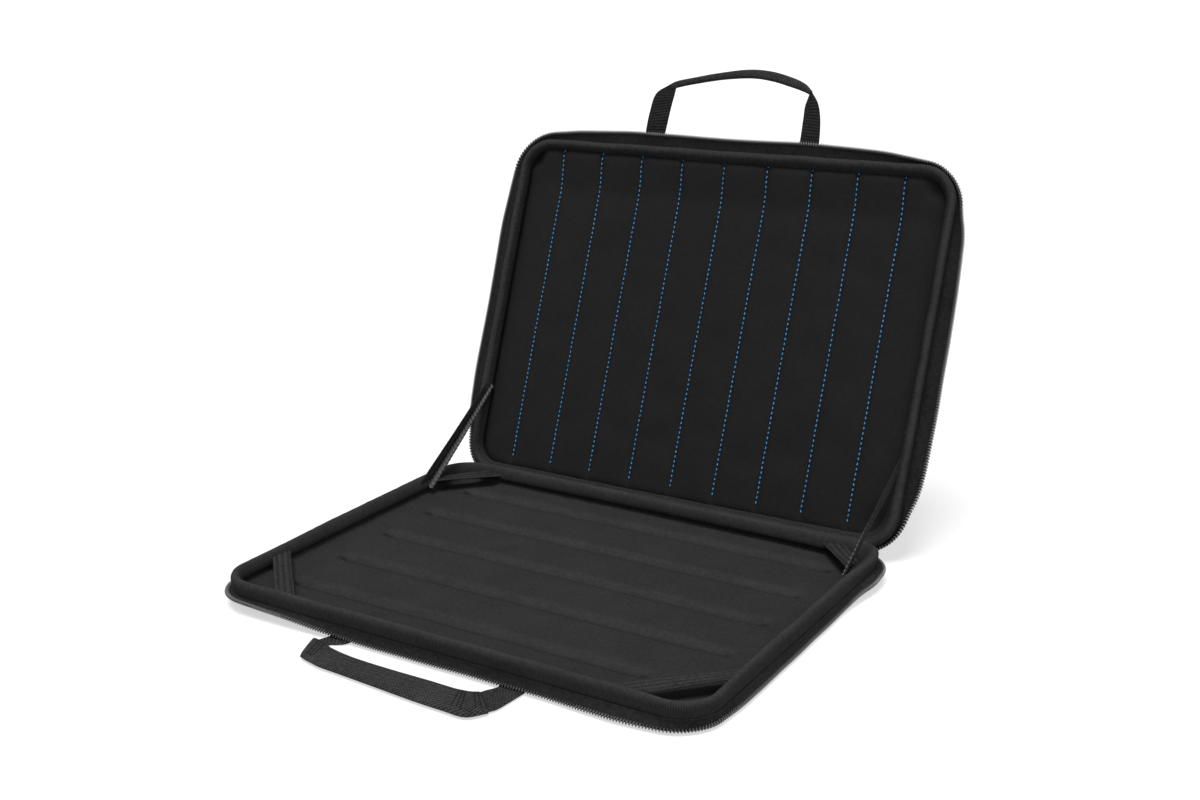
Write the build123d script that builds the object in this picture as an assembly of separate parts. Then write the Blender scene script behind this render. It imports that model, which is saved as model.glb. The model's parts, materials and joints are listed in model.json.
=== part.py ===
from build123d import *
import os
from math import cos, sin, radians, atan2, degrees, hypot

# A moulded zip-round laptop case standing open. +X is to the right, +Y to the back and +Z up.
# The origin is on the ground, at the middle of the base half's underside.
# Each half is drawn lying on its outer face, with z = 0 at that face and its rim on top.
# The lid half is drawn the same way, turned over onto the base, and then swung open.

# ---- driving dimensions, mm and degrees ----------------------------------------------------
case_width = 345.0          # over the bound rims, left to right
case_depth = 257.0          # over the bound rims, front to back
rim_corner_radius = 24.0    # outer plan radius of a rim's corner
half_height = 20.0          # outer face to the top of the rim, one half
open_angle = 111.4          # how far the lid stands open
shut_gap = 0.4              # between the two rims when shut
hinge_below_rim = 6.0       # hinge line under the top of the base rim
hinge_inset = 0.2           # hinge line in from the back of the rim

# moulded shells
seam_height = 10.0          # outer face to the seam that the binding and zipper are sewn to
shell_wall = 2.5
shell_floor = 3.5
shell_edge_radius = 8.0
bar_relief = 1.5            # moulded bars stand this far out of the outer face
bar_width = 16.0
bar_rim_margin = 35.5       # rim to the middle of the outermost bars
bar_count = 5
bar_inset = 23.0            # rim to the end of a bar
front_bar_trim = 29.0       # the front bar stops this much shorter at its right end

# linings
lining_thickness = 2.0
groove_width = 10.0         # hollow side of a bar, seen inside the base
groove_depth = 2.0
groove_lip = 1.2            # lining beside a groove
pad_thickness = 6.0         # padded lining of the lid
quilt_count = 9
quilt_pitch = 34.3
quilt_centre = -4.4
quilt_groove_width = 2.4
quilt_groove_depth = 1.6
quilt_top_margin = 8.0      # rim to the stitching at the lid's free edge
quilt_hinge_margin = 11.5   # rim to the stitching at the lid's hinge edge
thread_width = 0.8
thread_height = 0.6

# bound rims
binding_thickness = 3.5
binding_round = 1.6

# zipper
tape_thickness = 1.0
coil_size = 2.6
zip_fabric_gap = 2.0        # end of the fabric hinge to a zipper's end stop
zip_straight_end = 130.0    # the zipper hangs straight along the back as far as here
front_ramp_end = -70.0      # the front zipper has dropped to its low line here
side_ramp_end = 55.0        # the side zipper is low between this distance each side of its middle
zip_root = (0.1, 9.4)       # (outward, height) where a flared tape leaves the seam
zip_hang_root = (0.6, 9.9)  # the same for a hanging tape
zip_low = (1.9, 3.1)        # (outward, height) of the coil where the tape hangs
zip_high = (4.0, 9.0)       # the coil where the tape is pushed up, at corners of the base
zip_half = (3.6, 6.8)       # the coil half way up a ramp between the two
lid_zip_flare = (7.2, 12.0) # the coil where the lid's tape stands out
lid_zip_corner = (3.6, 12.0)
stop_length = 2.0

# zipper sliders and their pull tabs
slider_length = 11.0
slider_clearance = 0.3
slanted_coil_share = 0.6    # a slanted coil reaches this share of its size from its middle
slider_plate = 1.05
slider_inner_height = 4.9   # top of the plate on the case side
slider_outer_height = 6.6
slider_park_gap = 1.0
bail_reach = 1.1            # outer plate to the tab's pin
pin_radius = 0.5
pin_clearance = 0.08
ear_height = 0.8
ear_length = 2.2
ear_overlap = 0.8           # pin's axis to the ears' free ends
tab_thickness = 1.0
tab_length = 22.0
tab_eye_width = 3.0
tab_width = 4.0
tab_low = 1.5
tab_corner_radius = 0.9
tab_eye_wall = 0.5

# elastic corner straps
strap_width = 12.0
strap_thickness = 1.2
strap_height = 15.0         # underside of a strap over the ground
front_strap_reach = (48.0, 49.0)   # rim corner to a strap's middle, along the front and along the side
back_strap_reach = (34.0, 28.0)    # the same for the back straps

# stay ribbons at the sides of the lid
stay_width = 10.0
stay_thickness = 1.0
stay_gap = 0.3
stay_base_y = 76.0
stay_base_height = 13.0
stay_lid_distance = 59.0    # up the lid from its rim at the hinge
stay_lid_depth = 5.0        # behind the lid's rim plane

# fabric hinge
hinge_fabric_half = 88.0
hinge_fabric_thickness = 1.0
hinge_fabric_sag = 5.8
hinge_fabric_height = 9.0   # outer face of each half to the fabric's end
hinge_fabric_gap = 0.35     # the fabric's end to the lid's side

# webbing handles
handle_centre = -8.0
handle_leg_spacing = 126.0
webbing_width = 16.0
webbing_thickness = 1.4
webbing_lift = 0.1          # webbing over the ground or outer face plane
grip_thickness = 4.2
grip_round = 1.0
handle_hinge_out = 4.4      # outward of the rim
handle_gap = 0.6            # fixed end of the webbing to the swinging part
anchor_depth = 22.0         # how far a fixed end reaches under the shell
# outward reach of the edges of each grip, at its ends and at its middle
base_grip = {"inner_end": 17.0, "inner_mid": 20.0, "outer_end": 35.0, "outer_mid": 41.0}
lid_grip = {"inner_end": 46.0, "inner_mid": 53.5, "outer_end": 54.0, "outer_mid": 65.0}
base_shoulder = 24.0        # outward reach of the legs' outer corners
lid_shoulder = 38.0
shoulder_cut = 14.0         # how far the loop's corners are cut back along the grip
inner_shoulder_cut = 7.0    # the same inside the loop
inner_shoulder_drop = 4.7   # how far short of the grip the legs' inner corners stop
stitch_width = 0.8
stitch_height = 0.3
stitch_rows = 3
stitch_inset = 6.0          # a leg's inner edge to the first row
stitch_pitch = 3.0
stitch_cover = 0.7          # share of the grip's depth that a row crosses

touch_gap = 0.05            # left between faces that would otherwise coincide

# ---- values worked out from them ------------------------------------------------------------
half_width = case_width / 2
half_depth = case_depth / 2
bar_pitch = (case_depth - 2 * bar_rim_margin) / (bar_count - 1)
hinge_y = half_depth - hinge_inset
hinge_z = half_height - hinge_below_rim
hinge_axis = Axis((0, hinge_y, hinge_z), (1, 0, 0))
cavity_floor = bar_relief + shell_floor
lining_top = cavity_floor + lining_thickness
pad_top = cavity_floor + pad_thickness
cavity_radius = shell_edge_radius - shell_floor
corner_x = half_width - rim_corner_radius
corner_y = half_depth - rim_corner_radius
fin_inside = -binding_thickness
pocket_width = groove_width + 2 * groove_lip
zip_end = hinge_fabric_half + zip_fabric_gap + stop_length   # middle of the back to the zipper's end


def rim_outline(offset):
    """Plan outline of the rim, grown outward by an offset."""
    return RectangleRounded(case_width + 2 * offset, case_depth + 2 * offset, rim_corner_radius + offset)


def slab(sketch, low, high):
    return extrude(Pos(0, 0, low) * sketch, high - low)


def rounded_tray(offset, low, high, radius):
    """A slab of the rim's plan with its lower edge rounded."""
    body = slab(rim_outline(offset), low, high)
    lower_edges = body.faces().sort_by(Axis.Z)[0].edges()
    return fillet(lower_edges, radius)


def bars(width, end_inset, low, high, trim_front):
    """The row of moulded bars, as round-ended slabs across the case."""
    length = case_width - 2 * end_inset
    solids = []
    for index in range(bar_count):
        y = (index - (bar_count - 1) / 2) * bar_pitch
        cut = front_bar_trim if trim_front and index == 0 else 0
        shape = Pos(-cut / 2, y) * SlotOverall(length - cut, width)
        solids.append(slab(shape, low, high))
    return solids


def to_lid(shape):
    """Turn a half over onto the base, then swing it open about the hinge line."""
    shut = Pos(0, 0, 2 * half_height + shut_gap) * mirror(shape, about=Plane.XY)
    return shut.rotate(hinge_axis, -open_angle)


def group(solids):
    return Compound(children=list(solids))


# ---- shells, linings and bindings ------------------------------------------------------------
def lining_pockets():
    """The dips in the base's floor that the lining's grooves sink into."""
    inset = bar_inset - groove_lip
    return bars(pocket_width, inset, cavity_floor - groove_depth, cavity_floor, True)


def shell(with_grooves):
    outer = rounded_tray(0, bar_relief, seam_height, shell_edge_radius)
    cavity = rounded_tray(-shell_wall, cavity_floor, seam_height + 1, cavity_radius)
    body = outer - cavity
    end_inset = bar_inset - (bar_width - groove_width) / 2
    for bar in bars(bar_width, end_inset, 0, bar_relief, with_grooves):
        body += bar
    if with_grooves:
        for pocket in lining_pockets():
            body -= pocket
    return body


def base_lining():
    outer = rounded_tray(-shell_wall, cavity_floor, seam_height, cavity_radius)
    inner_radius = cavity_radius - lining_thickness
    inner = rounded_tray(-shell_wall - lining_thickness, lining_top, seam_height + 1, inner_radius)
    body = outer - inner
    for rib in lining_pockets():
        body += rib
    for groove in bars(groove_width, bar_inset, lining_top - groove_depth, lining_top, True):
        body -= groove
    return body


def binding():
    ring = rim_outline(0) - rim_outline(fin_inside)
    body = slab(ring, seam_height, half_height)
    top_edges = body.faces().sort_by(Axis.Z)[-1].edges()
    return fillet(top_edges, binding_round)


def quilt_lines():
    return [quilt_centre + (index - (quilt_count - 1) / 2) * quilt_pitch for index in range(quilt_count)]


def quilt_strip(x, width, low, high):
    length = case_depth - quilt_top_margin - quilt_hinge_margin
    y = (quilt_top_margin - quilt_hinge_margin) / 2
    return slab(Pos(x, y) * Rectangle(width, length), low, high)


def lid_lining():
    lower = rounded_tray(-shell_wall, cavity_floor, seam_height, cavity_radius)
    upper = slab(rim_outline(fin_inside), seam_height, pad_top)
    body = lower + upper
    for x in quilt_lines():
        body -= quilt_strip(x, quilt_groove_width, pad_top - quilt_groove_depth, pad_top)
    return body


def quilt_threads():
    low = pad_top - quilt_groove_depth
    return group(quilt_strip(x, thread_width, low, low + thread_height) for x in quilt_lines())


# ---- zipper ------------------------------------------------------------------------------------
SIDES = {"front": ((0, -1), (1, 0), half_depth), "right": ((1, 0), (0, 1), half_width),
         "back": ((0, 1), (-1, 0), half_depth), "left": ((-1, 0), (0, -1), half_width)}


def rim_point(side, along, out, height):
    """A point at a distance along one side of the rim, outward of it and over the outer face."""
    normal, tangent, reach = SIDES[side]
    x = normal[0] * (reach + out) + tangent[0] * along
    y = normal[1] * (reach + out) + tangent[1] * along
    return Vector(x, y, height)


def slant(root, tip):
    """Unit directions along and across the line from the tape's root to the coil."""
    length = hypot(tip[0] - root[0], tip[1] - root[1])
    along = ((tip[0] - root[0]) / length, (tip[1] - root[1]) / length)
    return along, (-along[1], along[0])


def tape_section(root, tip):
    """Corners of the tape's section, from its root at the seam to the coil, as (outward, height)."""
    along, across = slant(root, tip)
    half = tape_thickness / 2
    end = (tip[0] - along[0] * coil_size / 2, tip[1] - along[1] * coil_size / 2)
    return [(max(p[0] + s * half * across[0], touch_gap), p[1] + s * half * across[1])
            for p, s in ((root, 1), (end, 1), (end, -1), (root, -1))]


def coil_section(root, tip):
    """Corners of the coil's section, square to the tape."""
    along, across = slant(root, tip)
    half = coil_size / 2
    return [tuple(tip[i] + half * (a * along[i] + c * across[i]) for i in (0, 1))
            for a, c in ((-1, 1), (1, 1), (1, -1), (-1, -1))]


def section_wire(side, along, corners):
    return Wire.make_polygon([rim_point(side, along, out, height) for out, height in corners], close=True)


def zip_strip(section, stations):
    """A strip round the rim: straight lofts between the stations of a side, and turned corners."""
    body = None
    for index, (side, along, root, tip) in enumerate(stations[:-1]):
        next_side, next_along, next_root, next_tip = stations[index + 1]
        start = section_wire(side, along, section(root, tip))
        if side == next_side:
            end = section_wire(next_side, next_along, section(next_root, next_tip))
            piece = Solid.make_loft([start, end], ruled=True)
        else:
            normal, tangent, _ = SIDES[side]
            centre = (normal[0] * (SIDES[side][2] - rim_corner_radius) + tangent[0] * along,
                      normal[1] * (SIDES[side][2] - rim_corner_radius) + tangent[1] * along, 0)
            piece = revolve(Face(start), Axis(centre, (0, 0, 1)), 90)
        body = piece if body is None else body + piece
    return body


LOW = (zip_hang_root, zip_low)
HIGH = (zip_root, zip_high)
FLARE = (zip_root, lid_zip_flare)
HALF = (zip_root, zip_half)
TUCK = (zip_root, lid_zip_corner)


def ramp(side, start, end, *profiles):
    """Stations spread evenly along one side, from one profile to the next."""
    step = (end - start) / (len(profiles) - 1)
    return [(side, start + step * index, *profile) for index, profile in enumerate(profiles)]


base_stations = [
    ("back", zip_end, *LOW), *ramp("back", zip_straight_end, corner_x, LOW, HALF, HIGH),
    *ramp("left", -corner_y, -side_ramp_end, HIGH, HALF, LOW),
    *ramp("left", side_ramp_end, corner_y, LOW, HALF, HIGH),
    *ramp("front", -corner_x, front_ramp_end, HIGH, HALF, LOW), ("front", corner_x, *LOW),
    ("right", -corner_y, *LOW), *ramp("right", side_ramp_end, corner_y, LOW, HALF, HIGH),
    *ramp("back", -corner_x, -zip_straight_end, HIGH, HALF, LOW), ("back", -zip_end, *LOW)]


def flared_side(side, corner):
    """Stations of a lid side whose tape is tucked in at the corners and flares between them."""
    return [(side, -corner, *TUCK), (side, -side_ramp_end, *FLARE), (side, side_ramp_end, *FLARE),
            (side, corner, *TUCK)]


lid_stations = [
    ("back", zip_end, *LOW), *ramp("back", zip_straight_end, corner_x, LOW, HALF, HIGH, TUCK),
    *flared_side("left", corner_y), *flared_side("front", corner_x), *flared_side("right", corner_y),
    *ramp("back", -corner_x, -zip_straight_end, TUCK, HIGH, HALF, LOW), ("back", -zip_end, *LOW)]


def end_stops():
    """A clamped stop over the end of the coil, at each end of the zipper."""
    solids = []
    for direction in (-1, 1):
        start = section_wire("back", direction * (zip_end - stop_length), coil_section(*LOW))
        end = section_wire("back", direction * zip_end, coil_section(*LOW))
        solids.append(Solid.make_loft([start, end], ruled=True))
    return group(solids)


# ---- sliders and pull tabs -----------------------------------------------------------------------
coil_reach = coil_size * slanted_coil_share
slot_inner = zip_low[0] - coil_reach - slider_clearance
slot_outer = zip_low[0] + coil_reach + slider_clearance
slot_low = zip_low[1] - coil_reach - slider_clearance
slider_out = slot_outer + slider_plate
pin_out = slider_out + bail_reach
slider_start = zip_end + slider_park_gap
pin_x = slider_start + slider_length / 2


def block(x, y, z):
    """A box between two values of x, y and z."""
    centre = ((x[0] + x[1]) / 2, (y[0] + y[1]) / 2, (z[0] + z[1]) / 2)
    return Pos(*centre) * Box(x[1] - x[0], y[1] - y[0], z[1] - z[0])


def slider_right():
    span = (slider_start, slider_start + slider_length)
    rim = half_depth
    floor_low = slot_low - slider_plate
    inner_plate = (rim + slot_inner - slider_plate, rim + slot_inner)
    body = block(span, inner_plate, (floor_low, slider_inner_height))
    body += block(span, (rim + slot_outer, rim + slider_out), (floor_low, slider_outer_height))
    body += block(span, (rim + slot_inner, rim + slot_outer), (floor_low, slot_low))
    ear_x = (pin_x - ear_length / 2, pin_x + ear_length / 2)
    ear_y = (rim + slider_out, rim + pin_out + ear_overlap)
    eye_low = tab_low + (tab_width - tab_eye_width) / 2
    eye_high = eye_low + tab_eye_width
    body += block(ear_x, ear_y, (eye_low - pin_clearance - ear_height, eye_low - pin_clearance))
    body += block(ear_x, ear_y, (eye_high + pin_clearance, eye_high + pin_clearance + ear_height))
    pin = Pos(pin_x, rim + pin_out, eye_low - pin_clearance) * Cylinder(
        pin_radius, tab_eye_width + 2 * pin_clearance, align=(Align.CENTER, Align.CENTER, Align.MIN))
    return body + pin


def tab_right():
    """A pull tab lying along the zipper, its eye round the slider's pin."""
    y = (half_depth + pin_out - tab_thickness / 2, half_depth + pin_out + tab_thickness / 2)
    eye_low = tab_low + (tab_width - tab_eye_width) / 2
    neck_end = pin_x + ear_length
    neck = block((pin_x, neck_end + 1), y, (eye_low, eye_low + tab_eye_width))
    blade = block((neck_end, pin_x + tab_length), y, (tab_low, tab_low + tab_width))
    blade = fillet(blade.edges().filter_by(Axis.Y), tab_corner_radius)
    eye_radius = pin_radius + pin_clearance + tab_eye_wall
    eye = Pos(pin_x, half_depth + pin_out, eye_low) * Cylinder(
        eye_radius, tab_eye_width, align=(Align.CENTER, Align.CENTER, Align.MIN))
    hole = Pos(pin_x, half_depth + pin_out, eye_low - 1) * Cylinder(
        pin_radius + pin_clearance, tab_eye_width + 2, align=(Align.CENTER, Align.CENTER, Align.MIN))
    return neck + blade + eye - hole


def mirrored_left(shape):
    return mirror(shape, about=Plane.YZ)


# ---- straps, stays and the fabric hinge --------------------------------------------------------
def corner_strap(left, front):
    """An elastic strap laid flat across one corner of the tray, ending against the rim's inside."""
    side_x = -half_width if left else half_width
    end_y = -half_depth if front else half_depth
    along_end, along_side = front_strap_reach if front else back_strap_reach
    on_side = (side_x, end_y + (along_side if front else -along_side))
    on_end = (side_x + (along_end if left else -along_end), end_y)
    middle = ((on_side[0] + on_end[0]) / 2, (on_side[1] + on_end[1]) / 2)
    run = (on_end[0] - on_side[0], on_end[1] - on_side[1])
    turn = Rot(0, 0, degrees(atan2(run[1], run[0])))
    strip = Pos(*middle) * turn * Rectangle(2 * hypot(*run), strap_width)
    return slab(strip & rim_outline(fin_inside), strap_height, strap_height + strap_thickness)


def lid_place(distance, depth):
    """(y, z) of a point up the open lid from its rim at the hinge, and behind the rim plane."""
    shut = (half_depth - distance - hinge_y, half_height + shut_gap + depth - hinge_z)
    c, s = cos(radians(-open_angle)), sin(radians(-open_angle))
    return (hinge_y + c * shut[0] - s * shut[1], hinge_z + s * shut[0] + c * shut[1])


def stay_right():
    """A flat ribbon beside the right rims, from the base's side to the lid's side."""
    low = (stay_base_y, stay_base_height)
    high = lid_place(stay_lid_distance, stay_lid_depth)
    run = (high[0] - low[0], high[1] - low[1])
    length = hypot(*run) + 4 * stay_width
    x = half_width - binding_thickness - stay_gap - stay_thickness / 2
    middle = Pos(x, (low[0] + high[0]) / 2, (low[1] + high[1]) / 2)
    ribbon = middle * Rot(degrees(atan2(run[1], run[0])), 0, 0) * Box(stay_thickness, length, stay_width)
    span = (-case_width, case_width)
    ribbon -= block(span, span, (-case_width, seam_height + stay_gap))
    return ribbon - to_lid(block(span, span, (-case_width, pad_top + stay_gap)))


def hinge_fabric():
    """A sagging strip of cloth from the base's back seam to the lid's back seam."""
    half = hinge_fabric_thickness / 2
    start = (half_depth + half + touch_gap, hinge_fabric_height)
    lid_seam = lid_place(-hinge_fabric_gap - half, hinge_fabric_height)
    chord = (lid_seam[0] - start[0], lid_seam[1] - start[1])
    length = hypot(*chord)
    down = (chord[1] / length, -chord[0] / length)
    middle = ((start[0] + lid_seam[0]) / 2, (start[1] + lid_seam[1]) / 2)
    radius = (length ** 2 / 4 + hinge_fabric_sag ** 2) / (2 * hinge_fabric_sag)
    drop = hinge_fabric_sag - radius
    centre = (middle[0] + down[0] * drop, middle[1] + down[1] * drop)

    def on_arc(point, r):
        gap = (point[0] - centre[0], point[1] - centre[1])
        size = hypot(*gap)
        return (0, centre[0] + gap[0] * r / size, centre[1] + gap[1] * r / size)

    lowest = (middle[0] + down[0] * hinge_fabric_sag, middle[1] + down[1] * hinge_fabric_sag)
    outer = [on_arc(p, radius + half) for p in (start, lowest, lid_seam)]
    inner = [on_arc(p, radius - half) for p in (start, lowest, lid_seam)]
    edges = [ThreePointArc(*outer), Line(outer[2], inner[2]), ThreePointArc(*reversed(inner)),
             Line(inner[0], outer[0])]
    face = make_face(edges)
    return Pos(-hinge_fabric_half, 0, 0) * extrude(face, 2 * hinge_fabric_half, dir=(1, 0, 0))


# ---- handles -------------------------------------------------------------------------------------
leg_edge = handle_leg_spacing / 2 + webbing_width / 2
leg_inside = handle_leg_spacing / 2 - webbing_width / 2


def handle_point(x, out):
    return (handle_centre + x, -half_depth - out)


def handle_loop(shoulder, grip):
    """Plan outline of a carrying loop: two legs and an arched grip."""
    root = handle_hinge_out + handle_gap / 2
    grip_end = leg_edge - shoulder_cut
    inner_end = leg_inside - inner_shoulder_cut
    inner_shoulder = min(shoulder, grip["inner_end"]) - inner_shoulder_drop
    outline = [
        Line(handle_point(-leg_edge, root), handle_point(-leg_edge, shoulder)),
        Line(handle_point(-leg_edge, shoulder), handle_point(-grip_end, grip["outer_end"])),
        ThreePointArc(handle_point(-grip_end, grip["outer_end"]), handle_point(0, grip["outer_mid"]),
                      handle_point(grip_end, grip["outer_end"])),
        Line(handle_point(grip_end, grip["outer_end"]), handle_point(leg_edge, shoulder)),
        Line(handle_point(leg_edge, shoulder), handle_point(leg_edge, root)),
        Line(handle_point(leg_edge, root), handle_point(leg_inside, root)),
        Line(handle_point(leg_inside, root), handle_point(leg_inside, inner_shoulder)),
        Line(handle_point(leg_inside, inner_shoulder), handle_point(inner_end, grip["inner_end"])),
        ThreePointArc(handle_point(inner_end, grip["inner_end"]), handle_point(0, grip["inner_mid"]),
                      handle_point(-inner_end, grip["inner_end"])),
        Line(handle_point(-inner_end, grip["inner_end"]), handle_point(-leg_inside, inner_shoulder)),
        Line(handle_point(-leg_inside, inner_shoulder), handle_point(-leg_inside, root)),
        Line(handle_point(-leg_inside, root), handle_point(-leg_edge, root))]
    return make_face(outline)


def handle(shoulder, grip):
    """One length of webbing: thin legs, and a grip where it is folded to several layers."""
    plan = handle_loop(shoulder, grip)
    low = webbing_lift
    legs = slab(plan, low, low + webbing_thickness)
    grip_end = leg_edge - shoulder_cut
    reach = grip["outer_mid"] - grip["inner_end"] + 2
    cut = Pos(*handle_point(0, grip["inner_end"] + reach / 2)) * Rectangle(2 * grip_end, reach)
    folded = slab(plan & cut, low, low + grip_thickness)
    long_edges = folded.faces().sort_by(Axis.Z)[-1].edges().filter_by(GeomType.CIRCLE)
    folded = fillet(long_edges, grip_round)
    return legs + folded


def handle_stitching(grip):
    """Rows of stitches across each end of the folded grip."""
    low = webbing_lift + grip_thickness
    row_length = stitch_cover * (grip["outer_end"] - grip["inner_end"])
    rows = []
    for direction in (-1, 1):
        for row in range(stitch_rows):
            x = direction * (leg_inside - stitch_inset - row * stitch_pitch)
            centre = handle_point(x, (grip["inner_end"] + grip["outer_end"]) / 2)
            plan = Pos(*centre) * Rectangle(stitch_width, row_length)
            rows.append(slab(plan, low, low + stitch_height))
    return group(rows)


def handle_anchors():
    """The two fixed ends of the webbing, sewn flat under the shell's edge."""
    outer = handle_hinge_out - handle_gap / 2
    solids = []
    for direction in (-1, 1):
        centre = handle_point(direction * handle_leg_spacing / 2, (outer - anchor_depth) / 2)
        strip = Pos(*centre) * Rectangle(webbing_width, outer + anchor_depth)
        solids.append(slab(strip, webbing_lift, webbing_lift + webbing_thickness - touch_gap))
    return group(solids)


# ---- the nodes -----------------------------------------------------------------------------------
right_slider = slider_right()
right_tab = tab_right()
right_stay = stay_right()

nodes = {
    "base_shell": shell(True),
    "base_lining": base_lining(),
    "base_binding": binding(),
    "base_zipper_tape": zip_strip(tape_section, base_stations),
    "base_zipper_coil": zip_strip(coil_section, base_stations),
    "base_zipper_end_stops": end_stops(),
    "corner_strap_front_left": corner_strap(True, True),
    "corner_strap_front_right": corner_strap(False, True),
    "corner_strap_back_left": corner_strap(True, False),
    "corner_strap_back_right": corner_strap(False, False),
    "base_handle_anchors": handle_anchors(),
    "base_handle_webbing": handle(base_shoulder, base_grip),
    "base_handle_stitching": handle_stitching(base_grip),
    "hinge_fabric": hinge_fabric(),
    "stay_ribbon_left": mirrored_left(right_stay),
    "stay_ribbon_right": right_stay,
    "lid_shell": to_lid(shell(False)),
    "lid_lining": to_lid(lid_lining()),
    "lid_quilt_stitching": to_lid(quilt_threads()),
    "lid_binding": to_lid(binding()),
    "lid_zipper_tape": to_lid(zip_strip(tape_section, lid_stations)),
    "lid_zipper_coil": to_lid(zip_strip(coil_section, lid_stations)),
    "lid_zipper_end_stops": to_lid(end_stops()),
    "lid_handle_anchors": to_lid(handle_anchors()),
    "lid_handle_webbing": to_lid(handle(lid_shoulder, lid_grip)),
    "lid_handle_stitching": to_lid(handle_stitching(lid_grip)),
    "zipper_slider_left": mirrored_left(right_slider),
    "zipper_slider_right": right_slider,
    "pull_tab_left": mirrored_left(right_tab),
    "pull_tab_right": right_tab,
}

os.makedirs("parts", exist_ok=True)
for name, shape in nodes.items():
    export_step(shape, f"parts/{name}.step")
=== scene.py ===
"""Looks of an open, zip-round laptop case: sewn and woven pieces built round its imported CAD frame.

Shapes are worked out in millimetres. Each half is drawn lying on its outer face, with z = 0 there
and its rim on top, x to the right and y towards the hinge. to_lid() turns such points over and
swings them to where the open lid stands.
"""

import json
from functools import partialmethod
from math import cos, pi, radians, sin, tau

import bmesh
import bpy
import numpy as np
from mathutils import Matrix, Vector


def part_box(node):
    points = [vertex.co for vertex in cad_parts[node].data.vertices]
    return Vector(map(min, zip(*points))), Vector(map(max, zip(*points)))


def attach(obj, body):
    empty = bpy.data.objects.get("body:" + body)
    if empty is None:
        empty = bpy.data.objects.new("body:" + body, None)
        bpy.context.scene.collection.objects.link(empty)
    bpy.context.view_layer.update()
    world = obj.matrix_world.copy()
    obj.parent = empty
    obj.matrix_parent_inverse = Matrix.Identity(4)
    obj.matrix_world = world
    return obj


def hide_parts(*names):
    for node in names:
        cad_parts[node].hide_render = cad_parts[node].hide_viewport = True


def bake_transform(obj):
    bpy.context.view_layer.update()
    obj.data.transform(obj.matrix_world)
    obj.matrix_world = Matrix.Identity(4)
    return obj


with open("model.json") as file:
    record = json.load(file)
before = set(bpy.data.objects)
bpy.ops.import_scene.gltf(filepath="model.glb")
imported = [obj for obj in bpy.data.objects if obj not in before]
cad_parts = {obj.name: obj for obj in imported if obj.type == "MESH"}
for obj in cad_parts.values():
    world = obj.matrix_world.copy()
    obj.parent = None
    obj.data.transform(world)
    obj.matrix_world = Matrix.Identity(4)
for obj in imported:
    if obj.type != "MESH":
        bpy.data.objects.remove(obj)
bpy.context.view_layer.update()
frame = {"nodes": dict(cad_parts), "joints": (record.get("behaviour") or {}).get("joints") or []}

# ---- sizes, mm ----
MM = 1000.0                      # millimetres in a metre
JOINTS = {joint["name"]: joint for joint in frame["joints"]}


def node_box(node):
    return tuple(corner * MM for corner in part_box(node))


BIND_LOW, BIND_HIGH = node_box("base_binding")
HALF_W, HALF_D = BIND_HIGH.x, BIND_HIGH.y     # half of the rim's width and depth
SEAM, RIM = BIND_LOW.z, BIND_HIGH.z           # heights of the seam and of the rim's top
HINGE_Y, HINGE_Z = (value * MM for value in JOINTS["lid_hinge"]["pos_m"][1:])
OPEN_ANGLE = radians(JOINTS["lid_hinge"]["range_deg"][1])
SHUT_GAP = 0.4                   # between the two rims when shut
CORNER_R = 24.0                  # plan radius of the rim's corners
FLAT_X, FLAT_Y = HALF_W - CORNER_R, HALF_D - CORNER_R
QUARTER = CORNER_R * pi / 2      # length of a corner
MID_CORNER = FLAT_Y + QUARTER / 2    # a corner's middle, from the middle of the left or right side
RIM_LENGTH = 4 * (FLAT_X + FLAT_Y + QUARTER)

OUTER_Z = 1.5                    # moulded outer face, between its bars
BAR_COUNT, BAR_WIDTH, BAR_EDGE = 5, 16.0, 3.0
BAR_INSET, BAR_TRIM = 20.0, 29.0     # from the sides, and more off the front bar's right end
BAR_MARGIN = 35.5                # from the rim to the middle of the first and of the last bar
BAR_PITCH = (2 * HALF_D - 2 * BAR_MARGIN) / (BAR_COUNT - 1)
SHELL_RADIUS = 8.0
INSIDE_Z = 5.0                   # top of the moulded floor
INNER_RADIUS = 4.5               # where the floor turns up into the walls
LINING_GAP = 0.4                 # the shell lies this much under its lining
FLOOR_Z = 7.0                    # top of the base's lining
GROOVE_WIDTH, GROOVE_DEPTH, GROOVE_INSET = 10.0, 2.0, 23.0
GROOVE_DIP = 2.5                 # how deep the lining sinks
DIP_WIDTH, DIP_INSET, DIP_FAR_EDGE = 8.0, 30.0, 7.0     # the lining's own grooves
LINING_SHIFT = 6.0               # they lie this much nearer the hinge than the moulded ones
PAINTED_CREASE_HALF = 150.0              # half of the length of a groove's painted crease shade
PAD_Z = 11.0                     # top of the lid's padded lining
PAD_INSET = 4.0                  # from the rim to the pad's upper face
QUILT_COUNT, QUILT_PITCH, QUILT_MIDDLE = 9, 34.2, -1.2
QUILT_FREE_END, QUILT_HINGE_END = -HALF_D + 6.5, HALF_D - 11.5
QUILT_PULL = 1.9                 # how deep a row of stitching is sewn in
PAD_RISE = 5.0                   # the pad climbs this much towards the lid's free end
PAD_CREASE, PAD_SINK = 6.0, 2.4  # width and depth of the dip where it meets the rim's roll
PAD_PRESSURE, PAD_FRAMES, PAD_SWELL = 1.2, 20, 1.3   # of its cloth; it swells 1.3 mm at most
# tacked places of the pad: (x, y, depth, radius)
DIMPLES = ((-162.5, -115.0, 4.5, 7.0), (158.0, -115.0, 4.5, 7.5), (157.0, 114.0, 4.0, 10.0))

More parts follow.
